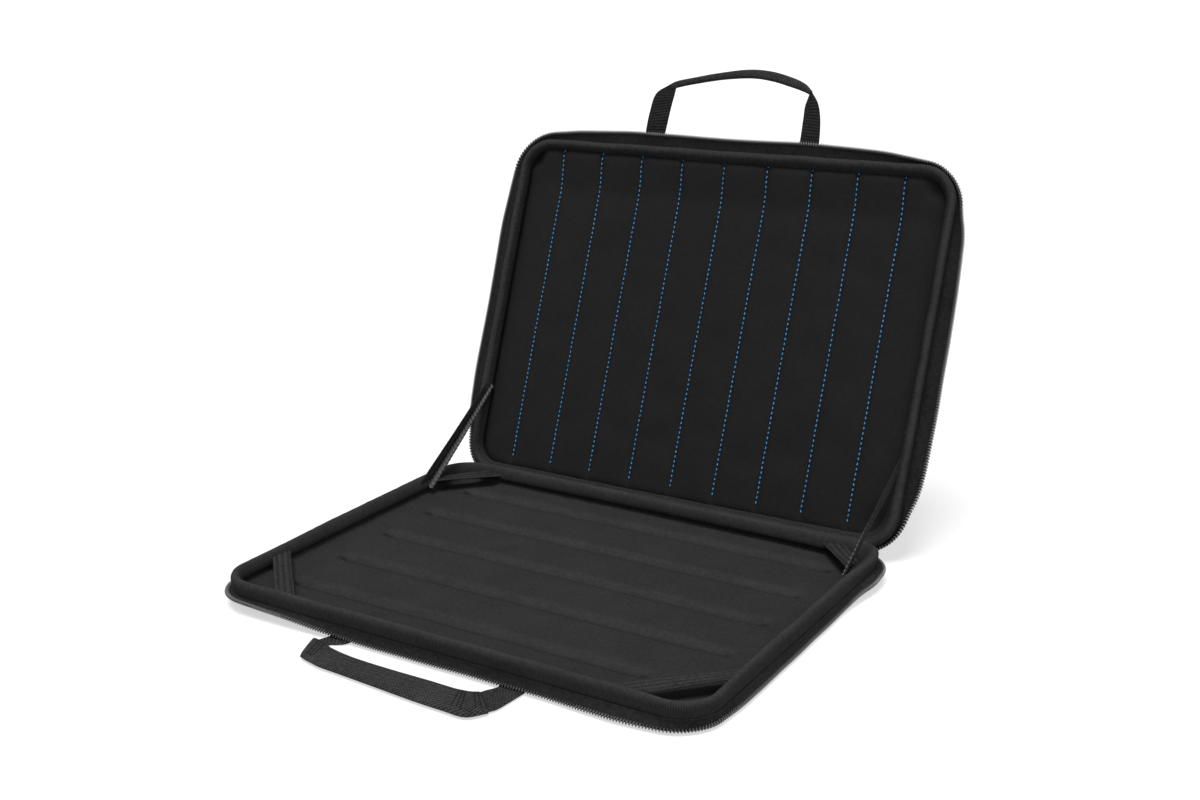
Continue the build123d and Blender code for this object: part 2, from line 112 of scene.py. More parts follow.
COIL_PITCH = 1.9
PAINTED_GLINT_TURN = 0.16                # where in its turn a tooth's painted glint lies
ROPE_PITCH = 7.0                 # one turn of the cord on a stay
SMOOTH_ZIP, SMOOTH_ROLL = 16.0, 30.0     # lengths over which the rim's changes are eased
SHARP = radians(55)              # faces that meet at more than this keep a crisp edge
FACE_CORNERS = ((0, 0), (1, 0), (1, 1), (0, 1))
UP = np.array((0, 0, 1.0))
# (pitch, length, width, height) of the stitches
QUILT_STITCH, RIM_STITCH = (3.5, 1.9, 0.8, 0.6), (3.6, 2.4, 0.9, 0.5)
HANDLE_STITCH = (2.6, 2.1, 0.8, 0.35)


# ---- placing points ----
def to_base(points):
    return np.asarray(points, float)


def to_lid(points):
    """Turns a half over onto the base, then opens it about the hinge line."""
    points = np.asarray(points, float)
    y = points[..., 1] - HINGE_Y
    z = 2 * RIM + SHUT_GAP - points[..., 2] - HINGE_Z
    c, s = cos(OPEN_ANGLE), sin(OPEN_ANGLE)
    return np.stack([points[..., 0], HINGE_Y + c * y + s * z, HINGE_Z - s * y + c * z], -1)


def smooth(low, high, value):
    t = np.clip((value - low) / (high - low), 0, 1)
    return t * t * (3 - 2 * t)


def wave(s, seed, lengths=(210.0, 96.0, 47.0)):
    """A gentle unevenness along the rim, from -1 to 1, that meets itself after one turn."""
    rng = np.random.default_rng(seed)
    total = 0
    for length in lengths:
        turns = max(1, round(RIM_LENGTH / length))
        total = total + np.sin(tau * turns * np.asarray(s) / RIM_LENGTH + rng.uniform(0, tau))
    return total / len(lengths)


def rim_at(s):
    """Points on the rim's outline and their outward normals, at lengths s round it from the
    middle of the back, to the left side first."""
    s = np.asarray(s, float) % RIM_LENGTH
    point, normal = np.zeros(s.shape + (2,)), np.zeros(s.shape + (2,))
    runs = [(FLAT_X, (0, HALF_D), (-1, 0)), (2 * FLAT_Y, (-HALF_W, FLAT_Y), (0, -1)),
            (2 * FLAT_X, (-FLAT_X, -HALF_D), (1, 0)), (2 * FLAT_Y, (HALF_W, -FLAT_Y), (0, 1)),
            (FLAT_X, (FLAT_X, HALF_D), (-1, 0))]
    begin = 0.0
    for length, start, ahead in runs:
        start, ahead = np.array(start), np.array(ahead, float)
        out = np.array([ahead[1], -ahead[0]])
        here = ((s >= begin) & (s <= begin + length))[..., None]
        point = np.where(here, start + (s - begin)[..., None] * ahead, point)
        normal = np.where(here, out, normal)
        begin += length
        here = ((s > begin) & (s < begin + QUARTER))[..., None]
        turn = ((s - begin) / CORNER_R)[..., None]
        swung = out * np.cos(turn) + ahead * np.sin(turn)
        point = np.where(here, start + length * ahead - CORNER_R * out + CORNER_R * swung, point)
        normal = np.where(here, swung, normal)
        begin += QUARTER
    return point, normal


SIDE_START = {"back": 0.0, "left": FLAT_X + QUARTER + FLAT_Y,
              "front": 2 * (FLAT_X + QUARTER + FLAT_Y),
              "right": 3 * (FLAT_X + FLAT_Y) + 3 * QUARTER}


def rim_s(side, along):
    """Length round the rim of a place on one side, measured from that side's middle."""
    return (SIDE_START[side] + along) % RIM_LENGTH


def rim_keys(sides):
    """(length round the rim, value...) keys from each side's (along, value...) ones."""
    return [(rim_s(side, along), *values)
            for side, places in sides.items() for along, *values in places]


def around(s, out, height):
    """Points round the rim, moved outward and to a height."""
    point, normal = rim_at(s)
    s, out, height = np.broadcast_arrays(s, out, height)
    return np.concatenate([point + normal * out[..., None], height[..., None]], -1)


# ---- meshes ----
def link(name, data):
    obj = bpy.data.objects.new(name, data)
    bpy.context.scene.collection.objects.link(obj)
    return obj


def unit(vectors):
    return vectors / np.maximum(np.linalg.norm(vectors, axis=-1, keepdims=True), 1e-9)


def lengths_along(points, axis=0):
    """Length from the first point to each one; for rows of points, the mean of their lengths."""
    steps = np.linalg.norm(np.diff(points, axis=axis), axis=-1)
    return np.r_[0, np.cumsum(steps if steps.ndim == 1 else steps.mean(1 - axis))]


def sections(centre, across, up, wide, high):
    """Rows of points round a path, at (wide, high) from each of its points."""
    return centre[:, None] + wide[..., None] * across[:, None] + high[..., None] * up[:, None]


class Piece:
    """Faces of one piece, gathered in mm, with the weave's coordinates at each face corner."""

    def __init__(self):
        self.points, self.faces, self.weave, self.count = [], [], [], 0

    def add(self, points, faces, weave):
        points = np.asarray(points, float).reshape(-1, 3)
        self.faces += [[corner + self.count for corner in face] for face in faces]
        self.points.append(points)
        self.weave.append(np.asarray(weave, float).reshape(-1, 2))
        self.count += len(points)

    def strip(self, rows, loop=False, ring=False, caps=False, lengths=None):
        """A surface through rows of points. With loop the last row joins the first one, and with
        ring each row closes on itself, when caps close the two ends. `lengths` may give the
        weave's coordinate of each row."""
        rows = np.asarray(rows, float)
        n, m = rows.shape[:2]
        u = (lengths_along(np.concatenate([rows, rows[:1]])) if lengths is None
             else np.r_[lengths, lengths[-1]])
        v = lengths_along(np.concatenate([rows, rows[:, :1]], 1), 1)
        i, j = np.meshgrid(np.arange(n if loop else n - 1), np.arange(m if ring else m - 1),
                           indexing="ij")
        i, j = i.ravel(), j.ravel()
        i2, j2 = (i + 1) % n, (j + 1) % m
        faces = np.stack([i * m + j, i2 * m + j, i2 * m + j2, i * m + j2], 1).tolist()
        weave = np.stack([np.stack([u[i + a], v[j + b]], -1) for a, b in FACE_CORNERS],
                         1).reshape(-1, 2)
        if caps:
            faces += [list(range(m))[::-1], list(range((n - 1) * m, n * m))]
            weave = np.concatenate([weave, np.zeros((2 * m, 2))])
        self.add(rows, faces, weave)

    def make(self, name, material, body, place, slot, *stands_for):
        """The piece's object, turned to its place, with its material; the slot is not used. It rides
        on a body, unless that is None because it is blended between two, and stands for CAD nodes."""
        mesh = bpy.data.meshes.new(name)
        mesh.from_pydata(place(np.concatenate(self.points)) / MM, [], self.faces)
        layer = mesh.uv_layers.new(name="weave")
        layer.data.foreach_set("uv", np.concatenate(self.weave).astype(np.float32).ravel())
        shaped = bmesh.new()
        shaped.from_mesh(mesh)
        bmesh.ops.recalc_face_normals(shaped, faces=shaped.faces)
        shaped.to_mesh(mesh)
        shaped.free()
        mesh.polygons.foreach_set("use_smooth", [True] * len(mesh.polygons))
        mesh.set_sharp_from_angle(angle=SHARP)
        mesh.materials.append(material)
        obj = link(name, mesh)
        if stands_for:
            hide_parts(*stands_for)
        if body:
            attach(obj, body)
        return obj


def eased(keys, t, spread=0.0):
    """Values at t between keys of (t, value, value...), eased over a spread."""
    keys = np.asarray(sorted(keys), float)
    offsets = np.linspace(-0.5, 0.5, 9) * spread if spread else np.zeros(1)
    columns = [np.mean([np.interp(t + d, keys[:, 0], keys[:, k]) for d in offsets], 0)
               for k in range(1, keys.shape[1])]
    return np.stack(columns, -1)


def curve_through(points, count):
    """Points spread along a smooth curve through a few points (Catmull-Rom)."""
    points = np.asarray(points, float)
    padded = np.concatenate([2 * points[:1] - points[1:2], points,
                             2 * points[-1:] - points[-2:-1]])
    t = np.linspace(0, len(points) - 1 - 1e-9, count)
    k, f = t.astype(int), (t % 1)[:, None]
    a, b, c, d = (padded[k + i] for i in range(4))
    return 0.5 * (2 * b + (c - a) * f + (2 * a - 5 * b + 4 * c - d) * f ** 2
                  + (3 * b - a - 3 * c + d) * f ** 3)


def tube(piece, path, radius, sides=6, lengths=None):
    """A round thread or wire along a path."""
    path = np.asarray(path, float)
    along = unit(np.gradient(path, axis=0))
    across = unit(np.cross(along, np.where(np.abs(along[:, 2:]) > 0.9, (1.0, 0, 0), UP)))
    up = np.cross(along, across)
    turn = np.arange(sides) / sides * tau
    radius = np.broadcast_to(radius, len(path))[:, None]
    piece.strip(sections(path, across, up, radius * np.cos(turn), radius * np.sin(turn)),
                ring=True, caps=True, lengths=lengths)


def stitches(piece, path, across, pitch, length, width, height):
    """A row of separate stitches along a path: small crowned beads that dip at both ends."""
    path, across = np.asarray(path, float), unit(np.asarray(across, float))
    s = lengths_along(path)
    turn = np.arange(6) / 6 * tau
    swell = np.array([0.35, 0.8, 1, 1, 0.8, 0.35])[:, None]
    dip = np.array([-0.9, -0.25, 0, 0, -0.25, -0.9]) * height
    for k in range(int((s[-1] - length) / pitch) + 1):
        t = k * pitch + np.array([0, 0.12, 0.35, 0.65, 0.88, 1]) * length
        centre = np.stack([np.interp(t, s, path[:, i]) for i in range(3)], -1)
        side = unit(np.stack([np.interp(t, s, across[:, i]) for i in range(3)], -1))
        along = unit(np.gradient(centre, axis=0))
        up = np.cross(along, side)
        piece.strip(sections(centre + up * dip[:, None], side, up,
                             0.5 * width * (swell * np.cos(turn)),
                             0.5 * height * (swell * np.sin(turn))), ring=True, caps=True)


def band(piece, centre, across, width, thickness, ribs=0, rib_height=0.0, steps=12):
    """A strap: a flat rounded section along a path, with ribs that run its length."""
    centre = np.asarray(centre, float)
    n = len(centre)
    along = unit(np.gradient(centre, axis=0))
    across = np.broadcast_to(np.asarray(across, float), centre.shape)
    across = unit(across - along * np.sum(across * along, -1, keepdims=True))
    up = np.cross(along, across)
    width, thickness = (np.broadcast_to(v, n)[:, None] for v in (width, thickness))
    t = np.linspace(-1, 1, steps + 1)
    edge = np.sqrt(np.clip(1 - np.abs(t) ** 8, 0, 1))
    crown = edge * (0.5 + rib_height * 0.5 * np.cos(pi * ribs * (t + 1)) * (ribs > 0))
    side = np.concatenate([t, t[-2:0:-1]])
    height = np.concatenate([crown, -crown[-2:0:-1]])
    piece.strip(sections(centre, across, up, 0.5 * width * side, thickness * height), ring=True,
                caps=True)


# ---- trays: moulded shells and their linings ----
CORNER_STEPS = 8                 # rows of a tray's grid across a rounded corner
FAN_STEPS = 8                    # columns that fan out beyond the last fixed one
FIXED_X = 143.0                  # columns keep their x as far as this
BAR_Y = (np.arange(BAR_COUNT) - (BAR_COUNT - 1) / 2) * BAR_PITCH
PAINTED_CREASE_Y = BAR_Y[0] + LINING_SHIFT - 2.5    # the first groove's crease, where its painted shade lies
ROWS = np.linspace(-FLAT_Y, FLAT_Y, 130)[1:-1]


def plan_grid(inset, columns):
    """x and y of a grid over the rim's outline, drawn in by an inset."""
    turn = np.radians(np.linspace(-90, 0, CORNER_STEPS + 1))
    radius = CORNER_R - inset
    y = np.r_[-FLAT_Y + radius * np.sin(turn), ROWS, FLAT_Y - radius * np.sin(turn[::-1])]
    reach = np.r_[FLAT_X + radius * np.cos(turn), np.full(len(ROWS), HALF_W - inset),
                  FLAT_X + radius * np.cos(turn[::-1])]
    fan = np.linspace(0, 1, FAN_STEPS + 1)[1:]
    right = FIXED_X + fan * (reach[:, None] - FIXED_X)
    x = np.concatenate([-right[:, ::-1], np.tile(columns, (len(y), 1)), right], 1)
    return x, np.broadcast_to(y[:, None], x.shape)


def grid_border(n, m):
    """Indices round a grid's edge, counter-clockwise from its front left corner."""
    index = np.arange(n * m).reshape(n, m)
    return np.r_[index[0], index[1:, -1], index[-1, -2::-1], index[-2:0:-1, 0]]


def tray(columns, under, walls, upper, shape_upper=None):
    """A closed tray. `under` and `upper` are (inset, height over x and y) of its two faces, and
    `walls` the (outward, height) of the rings between them, from the under face's edge up over
    the tray's own edge and down inside. shape_upper may move the upper face's points."""
    grids = []
    for inset, height in (under, upper):
        x, y = plan_grid(inset, columns)
        grids.append(np.stack([x, y, height(x, y)], -1))
    if shape_upper:
        grids[1] = shape_upper(grids[1])
    n, m = grids[0].shape[:2]
    border = grid_border(n, m)
    edge = grids[0].reshape(-1, 3)[border, :2]
    core = np.clip(edge, (-FLAT_X, -FLAT_Y), (FLAT_X, FLAT_Y))
    out = unit(edge - core)
    rings = np.array([np.column_stack([core + out * (CORNER_R + outward),
                                       np.full(len(out), height)]) for outward, height in walls])
    piece = Piece()
    i, j = (v.ravel() for v in np.meshgrid(np.arange(n - 1), np.arange(m - 1), indexing="ij"))
    quads = np.stack([i * m + j, i * m + j + 1, (i + 1) * m + j + 1, (i + 1) * m + j], 1)
    size, ring = n * m, len(border)
    points = np.concatenate([part.reshape(-1, 3) for part in (grids[0], rings, grids[1])])
    loops = [border, *(size + ring * k + np.arange(ring) for k in range(len(rings))),
             size + ring * len(rings) + border]
    faces = [quads, quads + size + ring * len(rings)]
    weave = [points[f, :2].reshape(-1, 2) for f in faces]
    k = np.arange(ring)
    for low, high in zip(loops, loops[1:]):
        faces.append(np.stack([low[k], low[(k + 1) % ring], high[(k + 1) % ring], high[k]], 1))
    middle = rings[len(rings) // 2]
    u = lengths_along(np.r_[middle, middle[:1]])
    v = np.r_[0, np.cumsum([np.linalg.norm(points[b[0]] - points[a[0]])
                            for a, b in zip(loops, loops[1:])])]
    for level in range(len(loops) - 1):
        weave.append(np.stack([np.stack([u[k + a], np.full(ring, v[level + b])], -1)
                               for a, b in FACE_CORNERS], 1).reshape(-1, 2))
    piece.add(points, np.concatenate(faces).tolist(), np.concatenate(weave))
    return piece


def bars(x, y, width, inset, edge, trim_front=True, far_edge=None):
    """How far into a moulded bar a place is: 0 outside, 1 on its flat, eased over its edge, which
    may be wider on the side towards the hinge."""
    depth = np.zeros(np.shape(x))
    far_edge = edge if far_edge is None else far_edge
    for index, middle in enumerate(BAR_Y):
        trim = BAR_TRIM if trim_front and index == 0 else 0.0
        left = -HALF_W + inset + width / 2
        right = HALF_W - inset - trim - width / 2
        away = np.hypot(x - np.clip(x, left, right), y - middle)
        side = 0.5 + 0.5 * (y - middle) / np.maximum(away, 1e-6)
        ease = edge + (far_edge - edge) * side
        depth = np.maximum(depth, smooth(width / 2 + ease / 2, width / 2 - ease / 2, away))
    return depth


def lumps(x, y, seed, size=38.0):
    """A soft unevenness over the plan, from about -1 to 1."""
    rng = np.random.default_rng(seed)
    total = 0
    for k in range(6):
        angle, phase = rng.uniform(0, pi), rng.uniform(0, tau)
        length = size * rng.uniform(0.7, 1.8)
        total = total + np.sin((x * cos(angle) + y * sin(angle)) / length * tau + phase)
    return total / 4


def arc_wall(outward, low, radius, steps):
    """(outward, height) round a tray's lower edge, which ends upright at `outward`."""
    turn = np.radians(np.linspace(-90, 0, steps + 1))
    return [(outward - radius + radius * cos(t), low + radius + radius * sin(t)) for t in turn]


EVEN_COLUMNS = np.linspace(-FIXED_X, FIXED_X, 121)
LINING_WALL = arc_wall(-2.7, INSIDE_Z, INNER_RADIUS, 4)[1:]     # up the outside of a lining
UNDER_INSET = 7.2                # from the rim to the flat under it


def groove_room(x, y, room):
    """How far into a moulded groove a place is, with room all round for the pressed-in lining."""
    return bars(x, y - LINING_SHIFT / 2, GROOVE_WIDTH + 2 * room, GROOVE_INSET - room, BAR_EDGE)


def shell_piece(half):
    """A moulded half. The base's has grooves inside, and its front bar is trimmed."""
    grooved = half == "base"

    def outer(x, y):
        return (OUTER_Z * (1 - bars(x, y, BAR_WIDTH, BAR_INSET, BAR_EDGE, grooved))
                + 0.1 * lumps(x, y, 5))

    def inner(x, y):
        return INSIDE_Z - LINING_GAP - grooved * GROOVE_DEPTH * groove_room(x, y, 4.5)

    walls = (arc_wall(0, OUTER_Z, SHELL_RADIUS, 7)[1:]
             + [(0, SEAM - 0.2), (-0.3, SEAM), (-2.2, SEAM)]
             + arc_wall(-2.6, INSIDE_Z - LINING_GAP, INNER_RADIUS, 4)[::-1][:-1])
    return tray(EVEN_COLUMNS, (SHELL_RADIUS, outer), walls, (7.1, inner))


def base_lining_piece():
    def under(x, y):
        return INSIDE_Z - GROOVE_DEPTH * groove_room(x, y, 4.0)

    def upper(x, y):
        dip = bars(x, y - LINING_SHIFT, DIP_WIDTH, DIP_INSET, BAR_EDGE, far_edge=DIP_FAR_EDGE)
        return FLOOR_Z - GROOVE_DIP * dip + 0.12 * lumps(x, y, 11)

    sweep = [(-4.4 - 6.0 * (1 - cos(turn)), FLOOR_Z + 4.0 * (1 - sin(turn)))
             for turn in np.radians((0, 18, 36, 54, 72))]
    walls = LINING_WALL + [(-2.8, SEAM + 1.0), (-3.6, SEAM + 1.6), (-4.2, SEAM + 1.0)] + sweep
    return tray(EVEN_COLUMNS, (UNDER_INSET, under), walls, (10.4, upper))


# ---- the lid's quilted pad ----
QUILT_X = QUILT_MIDDLE + (np.arange(QUILT_COUNT) - (QUILT_COUNT - 1) / 2) * QUILT_PITCH
CHANNEL_STEPS = 14               # columns across one sewn channel


def quilt_columns():
    """Columns that crowd together at the rows of stitching."""
    step = 0.5 - 0.5 * np.cos(pi * np.arange(1, CHANNEL_STEPS) / CHANNEL_STEPS)
    channels = [np.r_[x, x + QUILT_PITCH * step] for x in QUILT_X[:-1]]
    end = 0.5 - 0.5 * np.cos(pi * np.arange(1, 5) / 9)
    return np.r_[-FIXED_X, np.concatenate(channels), QUILT_X[-1],
                 QUILT_X[-1] + (FIXED_X - QUILT_X[-1]) * end, FIXED_X]


def stitch_pull(x, y):
    """How strongly the rows of stitching hold a place of the pad down, from 0 to 1."""
    nearest = np.min(np.abs(x[..., None] - QUILT_X), -1)
    inside = smooth(QUILT_FREE_END - 4, QUILT_FREE_END + 2, y) * smooth(
        QUILT_HINGE_END + 4, QUILT_HINGE_END - 2, y)
    return np.exp(-(nearest / 1.6) ** 2) * inside


def rim_distance(x, y, inset):
    """Distance in from a tray's own edge."""
    core = np.stack([np.clip(x, -FLAT_X, FLAT_X), np.clip(y, -FLAT_Y, FLAT_Y)], -1)
    out = np.hypot(x - core[..., 0], y - core[..., 1])
    straight = np.minimum(HALF_W - np.abs(x), HALF_D - np.abs(y))
    return np.where(out > 1e-6, CORNER_R - out, straight) - inset


def pad_height(x, y):
    """Height of the pad's upper face before it is puffed."""
    edge = rim_distance(x, y, PAD_INSET)
    dimple = sum(depth * np.exp(-((x - at_x) ** 2 + (y - at_y) ** 2) / radius ** 2)
                 for at_x, at_y, depth, radius in DIMPLES)
    return (PAD_Z - PAD_SINK + PAD_SINK * smooth(0, PAD_CREASE, edge)
            - QUILT_PULL * stitch_pull(x, y) - dimple
            + PAD_RISE * smooth(38.0, 4.0, y + HALF_D) + 0.12 * lumps(x, y, 23, 60.0))


def inflate(grid):
    """Lets the pad's face swell between its stitching and its edges, as foam-backed cloth does."""
    n, m = grid.shape[:2]
    edge = rim_distance(grid[..., 0], grid[..., 1], PAD_INSET)
    mesh = bpy.data.meshes.new("pad_cloth")
    index = np.arange(n * m).reshape(n, m)
    quads = np.stack([index[:-1, :-1], index[:-1, 1:], index[1:, 1:], index[1:, :-1]], -1)
    mesh.from_pydata(grid.reshape(-1, 3) / MM, [], quads.reshape(-1, 4).tolist())
    obj = link("pad_cloth", mesh)
    held = np.maximum(smooth(0.5, 0.9, stitch_pull(grid[..., 0], grid[..., 1])),
                      smooth(2.5, 0.5, edge)).ravel()
    pins = obj.vertex_groups.new(name="sewn")
    for i in np.nonzero(held > 0.02)[0]:
        pins.add([int(i)], float(held[i]), "REPLACE")
    cloth = obj.modifiers.new("swell", "CLOTH")
    settings = cloth.settings
    settings.quality = 5
    settings.mass = 0.3
    settings.tension_stiffness = settings.compression_stiffness = 12
    settings.shear_stiffness, settings.bending_stiffness = 6, 0.4
    settings.use_pressure = True
    settings.uniform_pressure_force = PAD_PRESSURE
    settings.shrink_min = -0.004
    settings.vertex_group_mass = "sewn"
    settings.effector_weights.gravity = 0
    cloth.collision_settings.use_collision = False
    cloth.point_cache.frame_start, cloth.point_cache.frame_end = 1, PAD_FRAMES
    for number in range(1, PAD_FRAMES + 1):
        bpy.context.scene.frame_set(number)
    shaped = obj.evaluated_get(bpy.context.evaluated_depsgraph_get()).to_mesh()
    found = np.empty(n * m * 3)
    shaped.vertices.foreach_get("co", found)
    bpy.context.scene.frame_set(1)
    bpy.data.objects.remove(obj)
    moved = found.reshape(n, m, 3) * MM - grid
    window = np.hanning(17)      # evens the folds out along the channels
    moved = np.apply_along_axis(np.convolve, 0, moved, window / window.sum(), "same")
    reach = np.linalg.norm(moved, axis=-1, keepdims=True)
    return grid + moved * np.minimum(1, PAD_SWELL / np.maximum(reach, 1e-6))


def pad_piece():
    walls = LINING_WALL + [(-2.9, SEAM - 0.2), (-3.3, SEAM), (-3.7, SEAM + 0.1)]
    under = (UNDER_INSET, lambda x, y: np.full(np.shape(x), INSIDE_Z))
    return tray(quilt_columns(), under, walls, (PAD_INSET, pad_height), inflate)


# ---- materials ----
class Nodes:
    """A node tree, with short calls for its sums."""

    def __init__(self, tree):
        self.tree = tree

    def give(self, socket, value):
        if isinstance(value, bpy.types.NodeSocket):
            self.tree.links.new(value, socket)
        else:
            socket.default_value = value

    def node(self, kind, **values):
        made = self.tree.nodes.new(kind)
        for key, value in values.items():
            socket = key.replace("_", " ")
            if socket in made.inputs:
                self.give(made.inputs[socket], value)
            else:
                setattr(made, key, value)
        return made

    def math(self, operation, *values):
        made = self.node("ShaderNodeMath", operation=operation)
        for socket, value in zip(made.inputs, values):
            self.give(socket, value)
        return made.outputs[0]

    add = partialmethod(math, "ADD")
    sub = partialmethod(math, "SUBTRACT")
    mul = partialmethod(math, "MULTIPLY")
    mad = partialmethod(math, "MULTIPLY_ADD")


class Shader(Nodes):
    """A material's nodes. Weave coordinates are in mm, u along the cloth and v across it."""

    def __init__(self, name, roughness, specular=0.5, metallic=0.0, coat=0.0):
        self.material = bpy.data.materials.new(name)
        self.material.use_nodes = True
        super().__init__(self.material.node_tree)
        self.main = self.tree.nodes["Principled BSDF"]
        for socket, value in (("Roughness", roughness), ("Specular IOR Level", specular),
                              ("Metallic", metallic), ("Coat Weight", coat)):
            self.main.inputs[socket].default_value = value

    def weave(self):
        where = self.node("ShaderNodeUVMap", uv_map="weave").outputs[0]
        split = self.node("ShaderNodeSeparateXYZ", Vector=where)
        return split.outputs[0], split.outputs[1]

    def noise(self, scale, detail=2.0):
        place = self.node("ShaderNodeTexCoord").outputs["Object"]
        return self.node("ShaderNodeTexNoise", Vector=place, Scale=scale, Detail=detail).outputs[0]

    def swing(self, value, pitch):
        """0 to 1 and back over each pitch."""
        return self.mad(self.math("SINE", self.mul(value, tau / pitch)), 0.5, 0.5)

    def hump(self, value, middle, half):
        """1 at the middle, falling off on both sides over a half width."""
        away = self.math("DIVIDE", self.sub(value, middle), half)
        return self.math("POWER", 2.718, self.mul(self.mul(away, away), -1.0))

    def mottled(self, tone, scale, detail, amount):
        return self.mad(self.sub(self.noise(scale, detail), 0.5), amount, tone)

    def finish(self, colour, tone, height, depth):
        """The colour made lighter and darker by the tone, and a bump of a depth in mm."""
        scaled = self.node("ShaderNodeVectorMath", operation="SCALE")
        scaled.inputs[0].default_value = colour
        self.tree.links.new(tone, scaled.inputs["Scale"])
        self.tree.links.new(scaled.outputs[0], self.main.inputs["Base Color"])
        bump = self.node("ShaderNodeBump", Height=height, Distance=depth / MM)
        self.tree.links.new(bump.outputs[0], self.main.inputs["Normal"])
        return self.material


def crossed(s, first, first_pitch, second, second_pitch, share):
    """Two sets of lines, of which the first makes this share of the height."""
    return s.mad(s.swing(first, first_pitch), share,
                 s.mul(s.swing(second, second_pitch), 1 - share))


def ribs(s, u, v, pitch):
    """Cords across the length, as in grosgrain, with a fine warp over them."""
    return crossed(s, v, pitch * 0.6, u, pitch, 0.2)


def cords(s, u, v, pitch):
    """Cords along the length, with a fine weave over them."""
    return crossed(s, u, pitch * 0.5, v, pitch, 0.25)


def tricot(s, u, v, pitch):
    """The faint wales of a brushed warp knit."""
    return crossed(s, u, pitch, v, pitch * 0.7, 0.6)


def twill(s, u, v, pitch):
    """Diagonal lines, crossed by fainter ones the other way."""
    return crossed(s, s.add(u, v), pitch, s.sub(u, v), pitch, 0.65)


def plain(s, u, v, pitch):
    """Over and under in turn, along both ways."""
    over = s.mul(s.sub(s.swing(u, 2 * pitch), 0.5), s.sub(s.swing(v, 2 * pitch), 0.5))
    return s.mad(over, 2.0, 0.5)


def fabric(name, colour, pattern, pitch, depth, contrast, fuzz=0.35, mottle=0.5, grain=1.3,
           painted_highlight=None, painted_light_tone=None):
    """Woven or knitted cloth. Its highlight argument paints a highlight along a line at (weave v,
    half width, share), and its tone-by-place argument may change the tone by place, as painted shade
    does."""
    s = Shader(name, 0.9, specular=0.05)
    u, v = s.weave()
    height = s.mad(s.noise(2400.0, 3.0), fuzz, s.mul(pattern(s, u, v, pitch), 1 - fuzz))
    tone = s.mad(s.sub(height, 0.5), contrast, 1.0)
    tone = s.mottled(tone, 45.0, 3.0, mottle)
    tone = s.mottled(tone, 420.0, 2.0, grain)
    # painted highlight: a lighter line along the weave, such as on the binding's ridge
    if painted_highlight:
        at, half, share = painted_highlight
        tone = s.mul(tone, s.mad(s.hump(v, at, half), share, 1.0))
    # tone changed by place, as by the painted shade and highlight of the lining's grooves
    if painted_light_tone:
        tone = painted_light_tone(s, u, v, tone)
    return s.finish(colour, tone, height, depth)


def painted_groove_shading(s, u, v, tone):
    """Painted shade in the crease at each groove's near edge, and a painted highlight on the slope
    beyond it. Weave coordinates are the tray's own x and y."""
    across = s.math("WRAP", s.sub(v, PAINTED_CREASE_Y), BAR_PITCH / 2, -BAR_PITCH / 2)
    front = s.math("LESS_THAN", v, PAINTED_CREASE_Y + BAR_PITCH / 2)
    along = s.math("MAXIMUM", s.mad(front, BAR_TRIM, u), s.mul(u, -1.0))
    inside = s.node("ShaderNodeMapRange", Value=along, From_Min=PAINTED_CREASE_HALF,
                    From_Max=PAINTED_CREASE_HALF - 7, interpolation_type="SMOOTHSTEP").outputs[0]
    # painted shade in the crease, painted highlight on the slope beyond it
    shade = s.mad(s.hump(across, 0.0, 2.4), -0.5, s.mul(s.hump(across, 7.4, 4.0), 0.25))
    return s.mul(tone, s.mad(shade, inside, 1.0))


def thread(name, colour, specular=0.15):
    s = Shader(name, 0.5, specular)
    u, v = s.weave()
    ply = s.swing(s.mad(v, 1.2, u), 0.55)
    return s.finish(colour, s.mad(ply, 0.35, 0.8), ply, 0.08)


def nylon_with_painted_glints(name, colour, roughness, pitch):
    """Moulded nylon with a painted glint on the crown of each tooth, which is one weave pitch long.
    """
    s = Shader(name, roughness)
    u, v = s.weave()
    # painted glint on each tooth's crown; the rest stays dark
    crown = s.math("POWER", s.swing(u, pitch), 3.0)
    tone = s.mad(s.noise(1500.0), 0.5, s.mad(crown, 5.5, 0.1))
    return s.finish(colour, tone, s.noise(1500.0), 0.03)


def rope_with_painted_light(name, colour, pitch):
    """Twisted cord whose plies carry a painted highlight on each crown and painted shade in each
    hollow.
    """
    s = Shader(name, 0.5, specular=0.2)
    u, v = s.weave()
    # painted highlight on each ply's crown and painted shade in its hollow
    tone = s.mad(s.math("POWER", s.swing(u, pitch), 5.0), 3.2, 0.05)
    strands = s.swing(s.add(u, s.mul(v, 2.0)), 0.7)
    tone = s.mul(tone, s.mad(strands, 0.4, 0.8))
    return s.finish(colour, tone, strands, 0.06)


def enamelled_metal(name, colour):
    """Black enamel on zinc, rubbed to bare metal at the corners."""
    s = Shader(name, 0.38, metallic=0.7, coat=0.3)
    edge = s.node("ShaderNodeNewGeometry").outputs["Pointiness"]
    rub = s.mul(s.math("MAXIMUM", s.sub(edge, 0.53), 0.0), 14.0)
    cast = s.noise(700.0, 4.0)
    return s.finish(colour, s.add(s.mad(cast, 0.4, 0.8), s.mul(rub, cast)), cast, 0.04)


SHELL_CLOTH, HINGE_CLOTH = (fabric(name, (0.024, 0.024, 0.0242), plain, 0.55, 0.12, 0.9)
                            for name in ("shell_cloth", "hinge_cloth"))
# the base's lining gets painted shade in its grooves' creases and a painted highlight beyond them
FLOOR_CLOTH = fabric("base_lining_cloth", (0.0295, 0.0284, 0.0281), tricot, 0.9, 0.05, 0.35,
                     fuzz=0.6, mottle=0.4, grain=0.7, painted_light_tone=painted_groove_shading)
PAD_CLOTH = fabric("quilted_cloth", (0.0182, 0.0180, 0.0180), tricot, 0.9, 0.05, 0.35,
                   fuzz=0.6, mottle=0.25, grain=0.4)
